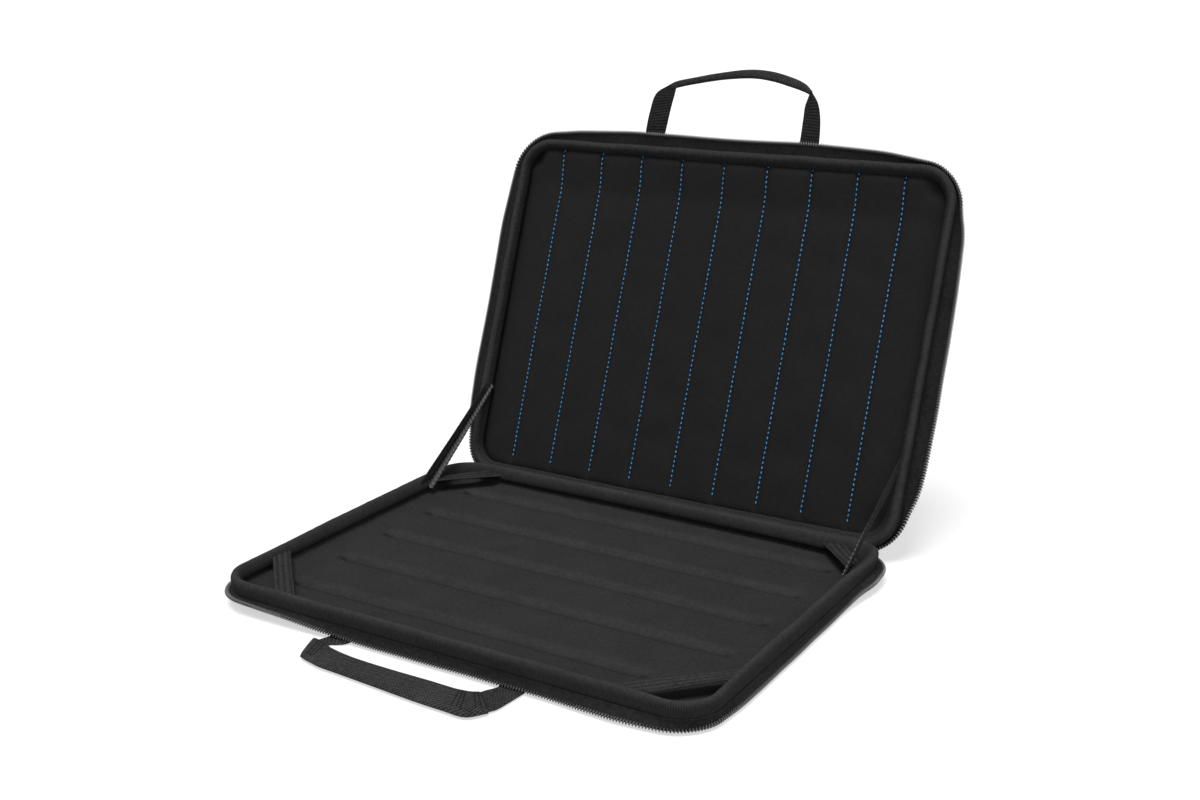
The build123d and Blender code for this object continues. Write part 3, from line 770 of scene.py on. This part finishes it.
# the binding tape gets a painted highlight along its roll's ridge
BINDING = fabric("binding_tape", (0.0265, 0.0262, 0.0262), ribs, 1.3, 0.14, 0.8, mottle=0.35,
                 grain=0.8, painted_highlight=(12.5, 2.6, 0.5))
ZIP_CLOTH = fabric("zipper_cloth", (0.0225, 0.0223, 0.0223), plain, 0.9, 0.1, 0.8)
ELASTIC = fabric("elastic", (0.0300, 0.0298, 0.0298), cords, 4.0, 0.3, 1.3)
RIBBON = fabric("ribbon", (0.0300, 0.0297, 0.0297), ribs, 1.3, 0.12, 1.0, grain=1.5)
WEBBING_GRIP = fabric("webbing_twill", (0.0400, 0.0397, 0.0397), twill, 2.4, 0.35, 1.7, fuzz=0.2)
WEBBING_BASE_LEG = fabric("webbing_twill_leg", (0.034, 0.0338, 0.0338), twill, 2.4, 0.35, 1.7,
                          fuzz=0.2)
WEBBING_LEG = fabric("webbing_ribbed", (0.0210, 0.0208, 0.0208), ribs, 2.2, 0.35, 1.5, fuzz=0.25)
# the coil's teeth carry painted glints
NYLON = nylon_with_painted_glints("zipper_nylon", (0.035, 0.035, 0.0345), 0.3, COIL_PITCH)
STOP = nylon_with_painted_glints("zipper_stop_nylon", (0.02, 0.02, 0.0197), 0.4, 50.0)
BLACK_THREAD = thread("black_thread", (0.006, 0.006, 0.006))
BLUE_THREAD = thread("blue_thread", (0.085, 0.40, 0.88), specular=0.3)
# the stays' cord carries painted highlights and painted shade on its plies
CORD = rope_with_painted_light("ribbon_cord", (0.062, 0.062, 0.061), ROPE_PITCH)
METAL = enamelled_metal("blackened_metal", (0.03, 0.03, 0.032))


# ---- shells, linings and bindings ----
HALVES = {"base": to_base, "lid": to_lid}


def on_both(*rows):
    """Makes pieces of both halves from rows of (name, shape, material, slot, node...)."""
    for half, place in HALVES.items():
        for name, shape, material, slot, *nodes in rows:
            shape(half).make(f"{half}_{name}", material, half, place, slot,
                             *(f"{half}_{node}" for node in nodes))


on_both(("shell_cloth", shell_piece, SHELL_CLOTH, "shell_cloth", "shell"))
base_lining_piece().make("base_lining_cloth", FLOOR_CLOTH, "base", to_base, "base_lining_cloth",
                         "base_lining")
pad = pad_piece().make("lid_quilted_pad", PAD_CLOTH, "lid", to_lid, "quilted_cloth", "lid_lining")

blue = Piece()
for x in QUILT_X:
    y = np.arange(QUILT_FREE_END, QUILT_HINGE_END, 0.8)
    x_here = x + 0.12 * wave(y * 3, int(abs(x)))
    path = np.stack([x_here, y, pad_height(x_here, y) + 0.3], -1)
    stitches(blue, path, np.tile((1.0, 0, 0), (len(y), 1)), *QUILT_STITCH)
blue.make("lid_quilt_threads", BLUE_THREAD, "lid", to_lid, "blue_thread", "lid_quilt_stitching")

# (outward, height) round the bound rim's section, from its outer foot over the ridge: a slim one,
# and a fat one that rolls far in over the lining
SLIM_ROLL = np.array([
    (-0.5, -1.0), (0.0, -0.3), (0.3, 0.8), (0.3, 2.4), (0.35, 4.2), (0.4, 5.6), (0.25, 7.0),
    (-0.25, 8.2), (-1.0, 9.1), (-2.0, 9.75), (-3.1, 9.9), (-4.2, 9.4), (-5.1, 8.2), (-5.6, 6.4),
    (-5.6, 4.6), (-5.2, 2.9), (-4.4, 1.4), (-3.2, 0.6)])
FAT_ROLL = np.array([
    (-0.5, -1.0), (0.0, -0.3), (0.3, 0.8), (0.25, 2.4), (0.2, 4.2), (0.35, 5.8), (0.4, 7.2),
    (0.1, 8.4), (-0.6, 9.4), (-1.8, 9.95), (-4.0, 9.7), (-6.3, 8.7), (-8.5, 7.2), (-10.3, 5.3),
    (-11.6, 3.5), (-12.2, 2.0), (-11.6, 0.9), (-10.2, 0.6)])
THREAD_ROWS = {"base": (15,), "lid": (14, 12)}   # the section's points that carry stitching
ROLL_SEED = {"base": 31, "lid": 47}

# share of the fat roll: at the middle of the back, then (along, share) on each side
FATNESS = {
    "base": (0.3, {
        "left": [(-FLAT_Y, 0.25), (0, 0.15)], "front": [(0, 0.0)],
        "right": [(0, 0.0), (55, 0.15), (85, 0.6), (MID_CORNER, 0.95)],
        "back": [(-FLAT_X, 0.7), (-100, 0.45)]}),
    "lid": (0.3, {
        "left": [(-FLAT_Y, 0.35), (0, 0.15), (MID_CORNER, 0.1)],
        "front": [(-80, 0.15), (-20, 0.35), (FLAT_X, 0.25)],
        "right": [(-FLAT_Y, 0.2), (0, 0.1), (70, 0.35), (MID_CORNER, 0.9)],
        "back": [(-FLAT_X, 0.5)]})}
# the same for how far outward the roll's top leans
LEAN = {
    "base": (0, {
        "left": [(-FLAT_Y, 2.3), (0, 3.4), (FLAT_Y, 2.5)],
        "front": [(-FLAT_X, 0), (FLAT_X - 25, 0)],
        "right": [(-MID_CORNER, 2.4), (-FLAT_Y + 40, 0), (60, 0.4),
                  (FLAT_Y + QUARTER * 0.3, 3.2)],
        "back": [(-FLAT_X + 15, 0.4)]}),
    "lid": (0, {
        "left": [(-FLAT_Y, 0), (0, -0.4)], "front": [(-FLAT_X, 0.6), (0, 1.4), (FLAT_X, 2.0)],
        "right": [(-FLAT_Y, 2.4), (-60, 2.0), (60, 1.8), (FLAT_Y, 1.0)],
        "back": [(-FLAT_X, 0.4)]})}


def along_rim(table, s):
    """The table's value at lengths s round the rim."""
    at_back, sides = table
    return eased([(0, at_back), *rim_keys(sides), (RIM_LENGTH, at_back)], s, SMOOTH_ROLL)


def binding_rows(half, s):
    """Points over the rim's soft roll at lengths s, uneven as tape sewn over foam is."""
    seed = ROLL_SEED[half]
    section = SLIM_ROLL + (FAT_ROLL - SLIM_ROLL) * along_rim(FATNESS[half], s)[..., None]
    high = np.clip(SLIM_ROLL[:, 1] / 10, 0, 1) ** 1.5
    lean = (along_rim(LEAN[half], s)[:, 0] + 0.5 * wave(s, seed)
            + 0.15 * wave(s, seed + 1, (19.0, 13.0, 9.0)))
    swell = 0.25 * wave(s, seed + 2, (60.0, 33.0, 21.0))
    out = section[..., 0] * (1 + 0.25 * swell[:, None] * high) + lean[:, None] * high
    sag = 0.2 * (wave(s, seed + 3) - 1)[:, None] * high
    return around(s[:, None], out, SEAM + section[..., 1] + sag)


def rim_binding(half):
    roll = Piece()
    roll.strip(binding_rows(half, np.arange(0, RIM_LENGTH, 2.0)), loop=True, ring=True)
    return roll


def rim_threads(half):
    sewn = Piece()
    rows = binding_rows(half, np.arange(0, RIM_LENGTH, 1.0))
    for k in THREAD_ROWS[half]:
        path, beside = rows[:, k], rows[:, k + 1] - rows[:, k - 1]
        along = np.gradient(path, axis=0)
        face = unit(np.cross(along, beside))
        face = face * np.sign(np.sum(face * (path - rows.mean(1)), -1, keepdims=True))
        stitches(sewn, path + 0.1 * face, -np.cross(unit(along), face), *RIM_STITCH)
    return sewn


on_both(("rim_binding", rim_binding, BINDING, "binding_tape", "binding"),
        ("rim_threads", rim_threads, BLACK_THREAD, "black_thread"))


# ---- zipper ----
ZIP_END = node_box("base_zipper_end_stops")[1].x     # from the middle of the back
TAPE_HALF, TAPE_BOW = 0.4, 0.5   # half of the tape's thickness, and its bow between seam and coil
COIL_WIRE, COIL_RUN, COIL_ACROSS = 0.5, 1.15, 0.9    # radii of its wire and of its oval turns
COIL_CORE = 0.55                 # radius of the cord in the coil
# (outward, height) of the coil: down beside the shell, half way up, nearly level with the seam,
# and held up above it
LOW, HALF, HIGH, TUCK = (1.9, 3.1), (3.6, 6.8), (4.0, 9.0), (3.6, 12.0)
# (along, outward) of the lid's coil, which stands at the height of TUCK on these sides
LID_COIL = {
    "left": [(-FLAT_Y, 4.6), (-84, 9.4), (-55, 10.8), (0, 10.1), (62, 11.1), (90, 9.2),
             (MID_CORNER, 6.6)],
    "front": [(-FLAT_X, 6.4), (-130, 8.7), (-81, 11.1), (0, 10.0), (60, 11.2), (117, 9.3),
              (FLAT_X, 4.7)],
    "right": [(-MID_CORNER, 2.3), (-FLAT_Y, 3.4), (-86, 9.2), (-40, 11.3), (30, 12.0), (66, 11.2),
              (90, 9.2), (FLAT_Y, 4.0), (MID_CORNER, 1.8)]}
# (along, outward, height) of the coil on each side
ZIP_KEYS = {
    "base": {
        "back": [(ZIP_END, *LOW), (130, *LOW), (139, *HALF), (FLAT_X, *HIGH),
                 (-FLAT_X, *HIGH), (-139, *HALF), (-130, *LOW), (-ZIP_END, *LOW)],
        "left": [(-FLAT_Y, *HIGH), (-80, *HALF), (-55, *LOW), (55, *LOW), (80, *HALF),
                 (FLAT_Y, *HIGH)],
        "front": [(-FLAT_X, *HIGH), (-109, *HALF), (-70, *LOW), (80, *LOW), (100, 3.2, 3.1),
                  (122, 4.4, 3.1), (137, 2.9, 3.1)],
        "right": [(-MID_CORNER, -1.2, 3.1), (-FLAT_Y, -0.2, 3.1), (-85, 2.2, 3.1), (20, *LOW),
                  (55, 1.2, 3.1), (80, *HALF), (92, 6.5, 6.8), (FLAT_Y, 6.0, 8.5)]},
    "lid": {
        "back": [(ZIP_END, *LOW), (130, *LOW), (138, *HALF), (143, *HIGH), (FLAT_X, *TUCK),
                 (-FLAT_X, 2.6, 12.0), (-143, *HIGH), (-138, *HALF), (-130, *LOW),
                 (-ZIP_END, *LOW)],
        **{side: [(along, out, TUCK[1]) for along, out in places]
           for side, places in LID_COIL.items()}}}


def zip_place(half, s):
    """Places in the rim's section, (outward, height), of the zipper's root at the seam and of its
    coil, and the directions from one to the other and across that."""
    tip = eased(rim_keys(ZIP_KEYS[half]), s, SMOOTH_ZIP)
    tip = tip + 0.18 * np.stack([wave(s, 71), wave(s, 72)], -1)
    drop = smooth(9.0, 4.0, tip[:, 1])[:, None]
    root = np.array((0.0, SEAM - 0.5)) * (1 - drop) + np.array((0.4, SEAM - 0.3)) * drop
    run = unit(tip - root)
    return root, tip, run, np.stack([-run[:, 1], run[:, 0]], -1)


def zip_tape(half):
    """Woven tape from under the binding's foot to the coil, bowed as it hangs, and the cord that
    the coil is wound round."""
    s = np.arange(ZIP_END, RIM_LENGTH - ZIP_END + 0.1, 2.0)
    root, tip, run, across = zip_place(half, s)
    t = np.linspace(0, 1, 7)
    bow = TAPE_BOW * np.sin(pi * t)
    line = (root[:, None] + (tip - root - 0.5 * run)[:, None] * t[:, None]
            - across[:, None] * bow[:, None])
    thick = TAPE_HALF * across[:, None]
    rows = np.concatenate([line + thick, (line - thick)[:, ::-1]], 1)
    over = np.clip((OUTER_Z + SHELL_RADIUS - rows[..., 1]) / SHELL_RADIUS, 0, 0.95)
    skin = SHELL_RADIUS * (np.sqrt(1 - over ** 2) - 1)
    piece = Piece()
    piece.strip(around(s[:, None], np.maximum(rows[..., 0], skin + 0.05), rows[..., 1]), ring=True,
                caps=True)
    tube(piece, around(s, tip[:, 0], tip[:, 1]), COIL_CORE)
    return piece


def zip_coil(half):
    """A nylon coil, wound round the tape's edge."""
    turns = int((RIM_LENGTH - 2 * ZIP_END) / COIL_PITCH)
    per_turn = 8
    t = np.arange(turns * per_turn + 1) / per_turn
    s = ZIP_END + t * COIL_PITCH
    _, tip, run, across = zip_place(half, s)
    turn = tau * t[:, None]
    wound = tip + COIL_RUN * np.cos(turn) * run + COIL_ACROSS * np.sin(turn) * across
    # weave lengths that place each turn's painted glint
    crown = (t - PAINTED_GLINT_TURN + 0.25) * COIL_PITCH
    piece = Piece()
    tube(piece, around(s, wound[:, 0], wound[:, 1]), COIL_WIRE, sides=5, lengths=crown)
    return piece


def end_stops(half):
    """A moulded stop over the coil at each end."""
    piece = Piece()
    turn = np.arange(12) / 12 * tau
    oval = [np.sign(f) * np.abs(f) ** 0.6 * 1.35 for f in (np.cos(turn), np.sin(turn))]
    grow = np.array([0.7, 0.9, 1.0, 1.0, 0.9, 0.7])
    for end, back in ((ZIP_END, 1), (RIM_LENGTH - ZIP_END, -1)):
        s = end - back * np.array([2.1, 2.0, 1.6, 0.5, 0.1, 0.0])
        _, tip, run, across = zip_place(half, np.full(len(s), end))
        place = (tip[:, None] + grow[:, None, None] * (oval[0][:, None] * run[:, None]
                                                       + oval[1][:, None] * across[:, None]))
        piece.strip(around(s[:, None], place[..., 0], place[..., 1]), ring=True, caps=True)
    return piece


on_both(("zip_cloth", zip_tape, ZIP_CLOTH, "zipper_cloth", "zipper_tape"),
        ("zip_coil", zip_coil, NYLON, "zipper_nylon", "zipper_coil"),
        ("zip_stops", end_stops, STOP, "zipper_nylon", "zipper_end_stops"))


# ---- corner straps, stays and the fabric hinge ----
STRAP_WIDTH, STRAP_THICK, STRAP_Z = 12.0, 1.3, 15.6
STRAP_ENDS, STRAP_LIMIT = 3.2, 2.9   # from the rim: the ends of its middle, and all of it
# (along the end, along the side) from the rim's corner to a strap's middle
STRAP_REACH = {("front", "left"): (55.0, 56.0), ("front", "right"): (53.0, 55.0),
               ("back", "left"): (38.0, 40.0), ("back", "right"): (38.0, 40.0)}

for (end, side), (along_end, along_side) in STRAP_REACH.items():
    sign_x, sign_y = (-1 if side == "left" else 1), (-1 if end == "front" else 1)
    foot = np.array((sign_x * (HALF_W - STRAP_ENDS), sign_y * (HALF_D - along_side), STRAP_Z))
    head = np.array((sign_x * (HALF_W - along_end), sign_y * (HALF_D - STRAP_ENDS), STRAP_Z))
    t = np.linspace(-0.06, 1.06, 40)[:, None]
    arch = np.sin(pi * np.clip(t, 0, 1))
    middle = foot + (head - foot) * t + UP * (0.25 * arch - 0.1)
    tilt = np.cross(UP, unit(head - foot)) + UP * (0.10 * np.cos(pi * t) * sign_x)
    strap = Piece()
    band(strap, middle, tilt, STRAP_WIDTH * (1 - 0.03 * arch[:, 0]), STRAP_THICK, ribs=3,
         rib_height=0.45, steps=36)
    inside = strap.points[0]
    limit = np.array((HALF_W - STRAP_LIMIT, HALF_D - STRAP_LIMIT))
    inside[:, :2] = np.clip(inside[:, :2], -limit, limit)
    strap.make(f"elastic_{end}_{side}", ELASTIC, "base", to_base, "elastic",
               f"corner_strap_{end}_{side}")

# (x, y, z): feet in the base, heads in the lid, both before the lid is turned over
STAY_FOOT = {"left": (-HALF_W + 4.6, 79.5, 15.5), "right": (HALF_W - 8.6, 79.5, 14.2)}
STAY_HEAD = {"left": (-HALF_W + 5.2, HALF_D - 66.5, RIM - 5.0),
             "right": (HALF_W - 5.2, HALF_D - 59.0, RIM - 5.0)}
# each pair is at the foot and at the head
STAY_WIDTH = (10.6, 6.4)
STAY_TURN = {"left": (0, 0), "right": (24, -12)}    # degrees about its length
ROPE_RADIUS = {"left": (1.6, 1.0), "right": (0.45, 0.35)}    # of one ply
ROPE_SHARE = {"left": -0.34, "right": 0.0}   # the cord's place across the ribbon
STAY_THICK, STAY_BOW = 0.9, 0.35     # the ribbon's middle bows in by this much


def between_ends(ends, t):
    return ends[0] + (ends[1] - ends[0]) * t


def stay_frame(side, foot, head, t):
    """Middle, width and direction across a stay's ribbon at shares t of its length."""
    run = unit(head - foot)
    flat = unit(np.cross((1.0, 0, 0), run))
    turn = np.radians(between_ends(STAY_TURN[side], t))
    sideways = unit(np.cross(run, flat))
    across = np.cos(turn) * flat + np.sin(turn) * sideways * np.sign(sideways[0])
    bow = np.array((-STAY_BOW if side == "right" else STAY_BOW, 0, 0)) * np.sin(pi * t) ** 2
    return between_ends((foot, head), t) + bow, between_ends(STAY_WIDTH, t), across


for side in STAY_FOOT:
    foot, head = np.array(STAY_FOOT[side]), to_lid(STAY_HEAD[side])
    length = np.linalg.norm(head - foot)
    middle, width, across = stay_frame(side, foot, head, np.linspace(-0.034, 1.034, 80)[:, None])
    ribbon = Piece()
    band(ribbon, middle, across, width[:, 0], STAY_THICK, ribs=2, rib_height=0.2, steps=16)
    stay = ribbon.make(f"stay_{side}", RIBBON, None, to_base, "ribbon", f"stay_ribbon_{side}")

    t = np.linspace(0, 1, 640)[:, None]
    middle, width, across = stay_frame(side, foot, head, t)
    inner = unit(np.cross(across, head - foot))
    inner = inner * np.sign(inner[:, :1]) * (1 if side == "left" else -1)
    ply_radius = between_ends(ROPE_RADIUS[side], t)
    core = middle + inner * (0.5 + ply_radius) + across * width * ROPE_SHARE[side]
    cord = Piece()
    for ply in range(2):
        twist = tau * (t * length / ROPE_PITCH + ply / 2)
        tube(cord, core + 0.95 * ply_radius * (np.cos(twist) * inner + np.sin(twist) * across),
             ply_radius[:, 0], lengths=t[:, 0] * length + (ply / 2 + 0.25) * ROPE_PITCH)
    twisted = cord.make(f"stay_cord_{side}", CORD, None, to_base, "ribbon")
    for piece in (stay, twisted):
        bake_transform(piece)

HINGE_HALF = node_box("hinge_fabric")[1].x
HINGE_SAG, HINGE_HALF_THICK = 5.8, 0.45
start = np.array((HALF_D + 0.55, 9.0))                # (y, z) where it leaves the base's cover
end = to_lid((0, HALF_D + 0.85, 11.0))[1:]            # and where it meets the lid's
chord = end - start
down = unit(np.array((chord[1], -chord[0])))
t = np.linspace(0, 1, 22)
arc = start + chord * t[:, None] + down * (HINGE_SAG * (1 - (2 * t[:, None] - 1) ** 2))
normal = unit(np.gradient(arc, axis=0))[:, ::-1] * (1, -1)
x = np.linspace(-HINGE_HALF, HINGE_HALF, 121)
ripple = (0.35 * np.sin(x / 17.0) + 0.25 * np.sin(x / 7.3 + 1.0))[:, None] * np.sin(pi * t)
upper, lower = (arc + thick * normal + ripple[..., None] * normal
                for thick in (HINGE_HALF_THICK, -HINGE_HALF_THICK))
section = np.concatenate([upper, lower[:, ::-1]], 1)
cloth = Piece()
cloth.strip(np.concatenate([np.broadcast_to(x[:, None, None], (*section.shape[:2], 1)), section],
                           -1), ring=True, caps=True)
hinge = cloth.make("hinge_cloth", HINGE_CLOTH, None, to_base, "hinge_cloth", "hinge_fabric")
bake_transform(hinge)


# ---- handles ----
# Plans are (x, outward of the rim); heights are over the outer face's plane.
def drawn_out(values, count):
    """Values at equal steps, or one value, drawn out to a count of them."""
    values = np.atleast_1d(values)
    return np.interp(np.linspace(0, 1, count), np.linspace(0, 1, len(values)), values)


def between(inner, outer, count, low, thick, roundness, steps=14, belly=0.0):
    """Webbing that fills the plan between two edges, with a rounded section."""
    inner, outer = curve_through(inner, count), curve_through(outer, count)
    low, thick = drawn_out(low, count)[:, None], drawn_out(thick, count)[:, None]
    t = np.linspace(-1, 1, steps + 1)
    plan = inner[:, None] + (outer - inner)[:, None] * ((t[:, None] + 1) / 2)
    edge = (1 - np.abs(t) ** roundness) ** 0.5
    middle = low + thick / 2
    upper, lower = (np.stack([plan[..., 0], -HALF_D - plan[..., 1], height], -1)
                    for height in (middle + (thick / 2) * (edge + belly * (1 - t ** 2)),
                                   middle - (thick / 2) * edge))
    piece = Piece()
    piece.strip(np.concatenate([upper, lower[:, -2:0:-1]], 1), ring=True, caps=True)
    return piece


BASE_GRIP = ([(-84.5, 8.2), (-78, 9.6), (-71.7, 11.6), (-65, 14.9), (-46, 18.0), (-18, 18.8),
              (10.7, 18.4), (28.4, 18.4), (36, 16.6), (40.5, 13.5)],
             [(-75.5, 31.5), (-70, 33.4), (-64, 34.8), (-56, 36.2), (-38, 37.2), (-15, 38.9),
              (12, 41.0), (35, 41.8), (51, 41.4), (59.5, 31.0)])
BASE_LEG_LEFT = ([(-63.3, -18), (-63.3, -2), (-64.2, 3), (-67.8, 6.2), (-72, 9.0), (-74, 16),
                  (-70, 26)],
                 [(-79.5, -18), (-80.3, -2), (-81.0, 2), (-82.4, 6.5), (-83.6, 11), (-81.5, 20),
                  (-76.5, 28)])
BASE_LEG_RIGHT = ([(45.6, -18), (45.4, 0), (44, 5), (41.4, 9.5), (40.4, 15), (42.5, 24)],
                  [(62.6, -18), (62.6, 0), (62.0, 8), (61.2, 17), (60.2, 25), (56, 32)])
LID_GRIP = ([(-61.5, 48.0), (-55, 49.8), (-44.4, 52.2), (-21.7, 56.4), (1.2, 58.4), (18.7, 56.9),
             (34, 53.4), (43, 51.0), (48.8, 49.0)],
            [(-64.5, 51.6), (-58.5, 54.0), (-45.5, 56.9), (-25, 61.2), (-1, 64.8), (17.3, 64.2),
             (34.9, 60.2), (45.0, 56.2), (50.5, 51.6)])
LID_LEG_LEFT = ([(-62.8, -18), (-62.6, 0), (-61.8, 14), (-60.7, 34), (-59.6, 44), (-59.2, 50)],
                [(-79.2, -18), (-79.0, 0), (-78.7, 14), (-78.3, 30), (-75.6, 44), (-65.5, 51.4)])
LID_LEG_RIGHT = ([(46.6, -18), (47.2, 0), (47.6, 14), (47.0, 32), (46.8, 41), (48.6, 49.5)],
                 [(62.8, -18), (62.8, 0), (62.6, 14), (60.4, 31), (56.6, 42.8), (50.4, 51.0)])
LEG_HINGE, LEG_BEND = 4.4, 3.0   # a leg's hinge line out of the rim; it bends so far each side
LEG_LOW, LEG_THICK = [0.1, 0.1, 0.1, 0.1, 0.3, 0.3], 1.4
GRIP_LOW = 0.25

# thickness of the grip from its left end to its right, and the x of the stitching's rows over it
HANDLES = {
    "base": dict(leg_cloth=WEBBING_BASE_LEG, grip=BASE_GRIP, legs=(BASE_LEG_LEFT, BASE_LEG_RIGHT),
                 thick=[3.2, 4.0, 4.2, 4.2, 4.2, 4.0, 2.8],
                 rows=(-74.5, -71.5, -68.5, 36.5, 39.0, 41.5, 47.0, 48.6, 50.0)),
    "lid": dict(leg_cloth=WEBBING_LEG, grip=LID_GRIP, legs=(LID_LEG_LEFT, LID_LEG_RIGHT),
                thick=[2.4, 4.2, 4.6, 4.6, 4.6, 4.2, 2.4],
                rows=(-57.0, -54.0, -51.0, 40.0, 43.0, 46.0))}

for half, made in HANDLES.items():
    place, swinging = HALVES[half], f"{half}_handle"
    ends = [tuple(place((0, -HALF_D - LEG_HINGE + shift, 0.8)) / MM)
            for shift in (LEG_BEND, -LEG_BEND)]
    for side, edges in zip(("left", "right"), made["legs"]):
        leg = between(*edges, 70, LEG_LOW, LEG_THICK, roundness=10.0)
        stands = [f"{half}_handle_anchors"] if side == "left" else []
        piece = leg.make(f"{half}_handle_leg_{side}", made["leg_cloth"], None, place, "webbing",
                         *stands)
        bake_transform(piece)
    grip = between(*made["grip"], 110, GRIP_LOW, made["thick"], roundness=4.0, steps=22, belly=0.06)
    grip.make(f"{half}_handle_grip", WEBBING_GRIP, swinging, place, "webbing",
              f"{half}_handle_webbing")
    sewn = Piece()
    inner, outer = (curve_through(edge, 400) for edge in made["grip"])
    top = GRIP_LOW + drawn_out(made["thick"], 400)
    for x_row in made["rows"]:
        k = int(np.argmin(np.abs((inner[:, 0] + outer[:, 0]) / 2 - x_row)))
        line = inner[k] + (outer[k] - inner[k]) * np.linspace(0.14, 0.86, 30)[:, None]
        path = np.column_stack([line[:, 0], -HALF_D - line[:, 1],
                                np.full(len(line), top[k] + 0.15)])
        across = np.tile(np.cross(unit(path[-1] - path[0]), UP), (len(path), 1))
        stitches(sewn, path, across, *HANDLE_STITCH)
    sewn.make(f"{half}_handle_threads", BLACK_THREAD, swinging, place, "black_thread",
              f"{half}_handle_stitching")


# ---- metal ----
for name in ("zipper_slider_left", "zipper_slider_right", "pull_tab_left", "pull_tab_right"):
    node = frame["nodes"][name]
    node.data.materials.clear()
    node.data.materials.append(METAL)
    bevel = node.modifiers.new("worn_edges", "BEVEL")
    bevel.width, bevel.segments, bevel.limit_method = 0.00022, 3, "ANGLE"
    bevel.angle_limit = radians(40)


# ---- floor, light and camera ----
FLOOR_HALF, FLOOR_LEVEL = 40.0, -0.0002    # metres; just under the case's outer face


def seen_rays(nodes):
    """1 for rays that see the place itself, 0 for those that only gather its light."""
    path = nodes.node("ShaderNodeLightPath").outputs
    value = path["Is Camera Ray"]
    for kind in ("Is Glossy Ray", "Is Transmission Ray"):
        value = nodes.math("MAXIMUM", value, path[kind])
    return value


def floor_material():
    """White paper that keeps the case's shadow and shows as white where nothing shades it."""
    s = Shader("paper", 0.9, specular=0.1)
    s.main.inputs["Base Color"].default_value = (0.5, 0.5, 0.5, 1)
    glow = s.node("ShaderNodeEmission", Color=(1, 1, 1, 1), Strength=s.mul(seen_rays(s), 0.6))
    both = s.node("ShaderNodeAddShader")
    s.tree.links.new(s.main.outputs[0], both.inputs[0])
    s.tree.links.new(glow.outputs[0], both.inputs[1])
    s.tree.links.new(both.outputs[0], s.tree.nodes["Material Output"].inputs["Surface"])
    return s.material


paper = bpy.data.meshes.new("floor")
paper.from_pydata([(x * FLOOR_HALF, y * FLOOR_HALF, FLOOR_LEVEL)
                   for x, y in ((-1, -1), (1, -1), (1, 1), (-1, 1))], [], [(0, 1, 2, 3)])
paper.materials.append(floor_material())
link("floor", paper)

world = bpy.data.worlds.new("studio")
world.use_nodes = True
bpy.context.scene.world = world
sky = Nodes(world.node_tree)
strength = sky.node("ShaderNodeMapRange", Value=seen_rays(sky), To_Min=0.28, To_Max=1.0)
background = sky.tree.nodes["Background"].inputs
background["Color"].default_value = (1, 1, 1, 1)
sky.tree.links.new(strength.outputs[0], background["Strength"])


def soft_light(name, toward, power, spread):
    """An even light from one side, as from a large softbox; `toward` points at it."""
    light = bpy.data.lights.new(name, "SUN")
    light.energy, light.angle = power, radians(spread)
    link(name, light).rotation_euler = Vector(toward).to_track_quat("Z", "Y").to_euler()


soft_light("key", (0.06, -0.25, 0.96), 2.3, 25)
soft_light("fill", (0.75, -0.5, 0.45), 0.45, 60)

YAW, PITCH, ROLL = (radians(v) for v in (31.94, 17.285, -0.833))
forward = Vector((-sin(YAW) * cos(PITCH), cos(YAW) * cos(PITCH), -sin(PITCH)))
level = Vector((cos(YAW), sin(YAW), 0))
upright = level.cross(forward)
right = cos(ROLL) * level + sin(ROLL) * upright
top = -sin(ROLL) * level + cos(ROLL) * upright
camera = link("camera", bpy.data.cameras.new("camera"))
camera.data.lens, camera.data.sensor_width = 46.98, 36.0
camera.data.clip_start = 0.01
camera.matrix_world = Matrix((right, top, -forward)).transposed().to_4x4()
camera.location = (0.5147, -0.7709, 0.4149)
bpy.context.scene.camera = camera
bpy.context.scene.view_settings.view_transform = "Standard"
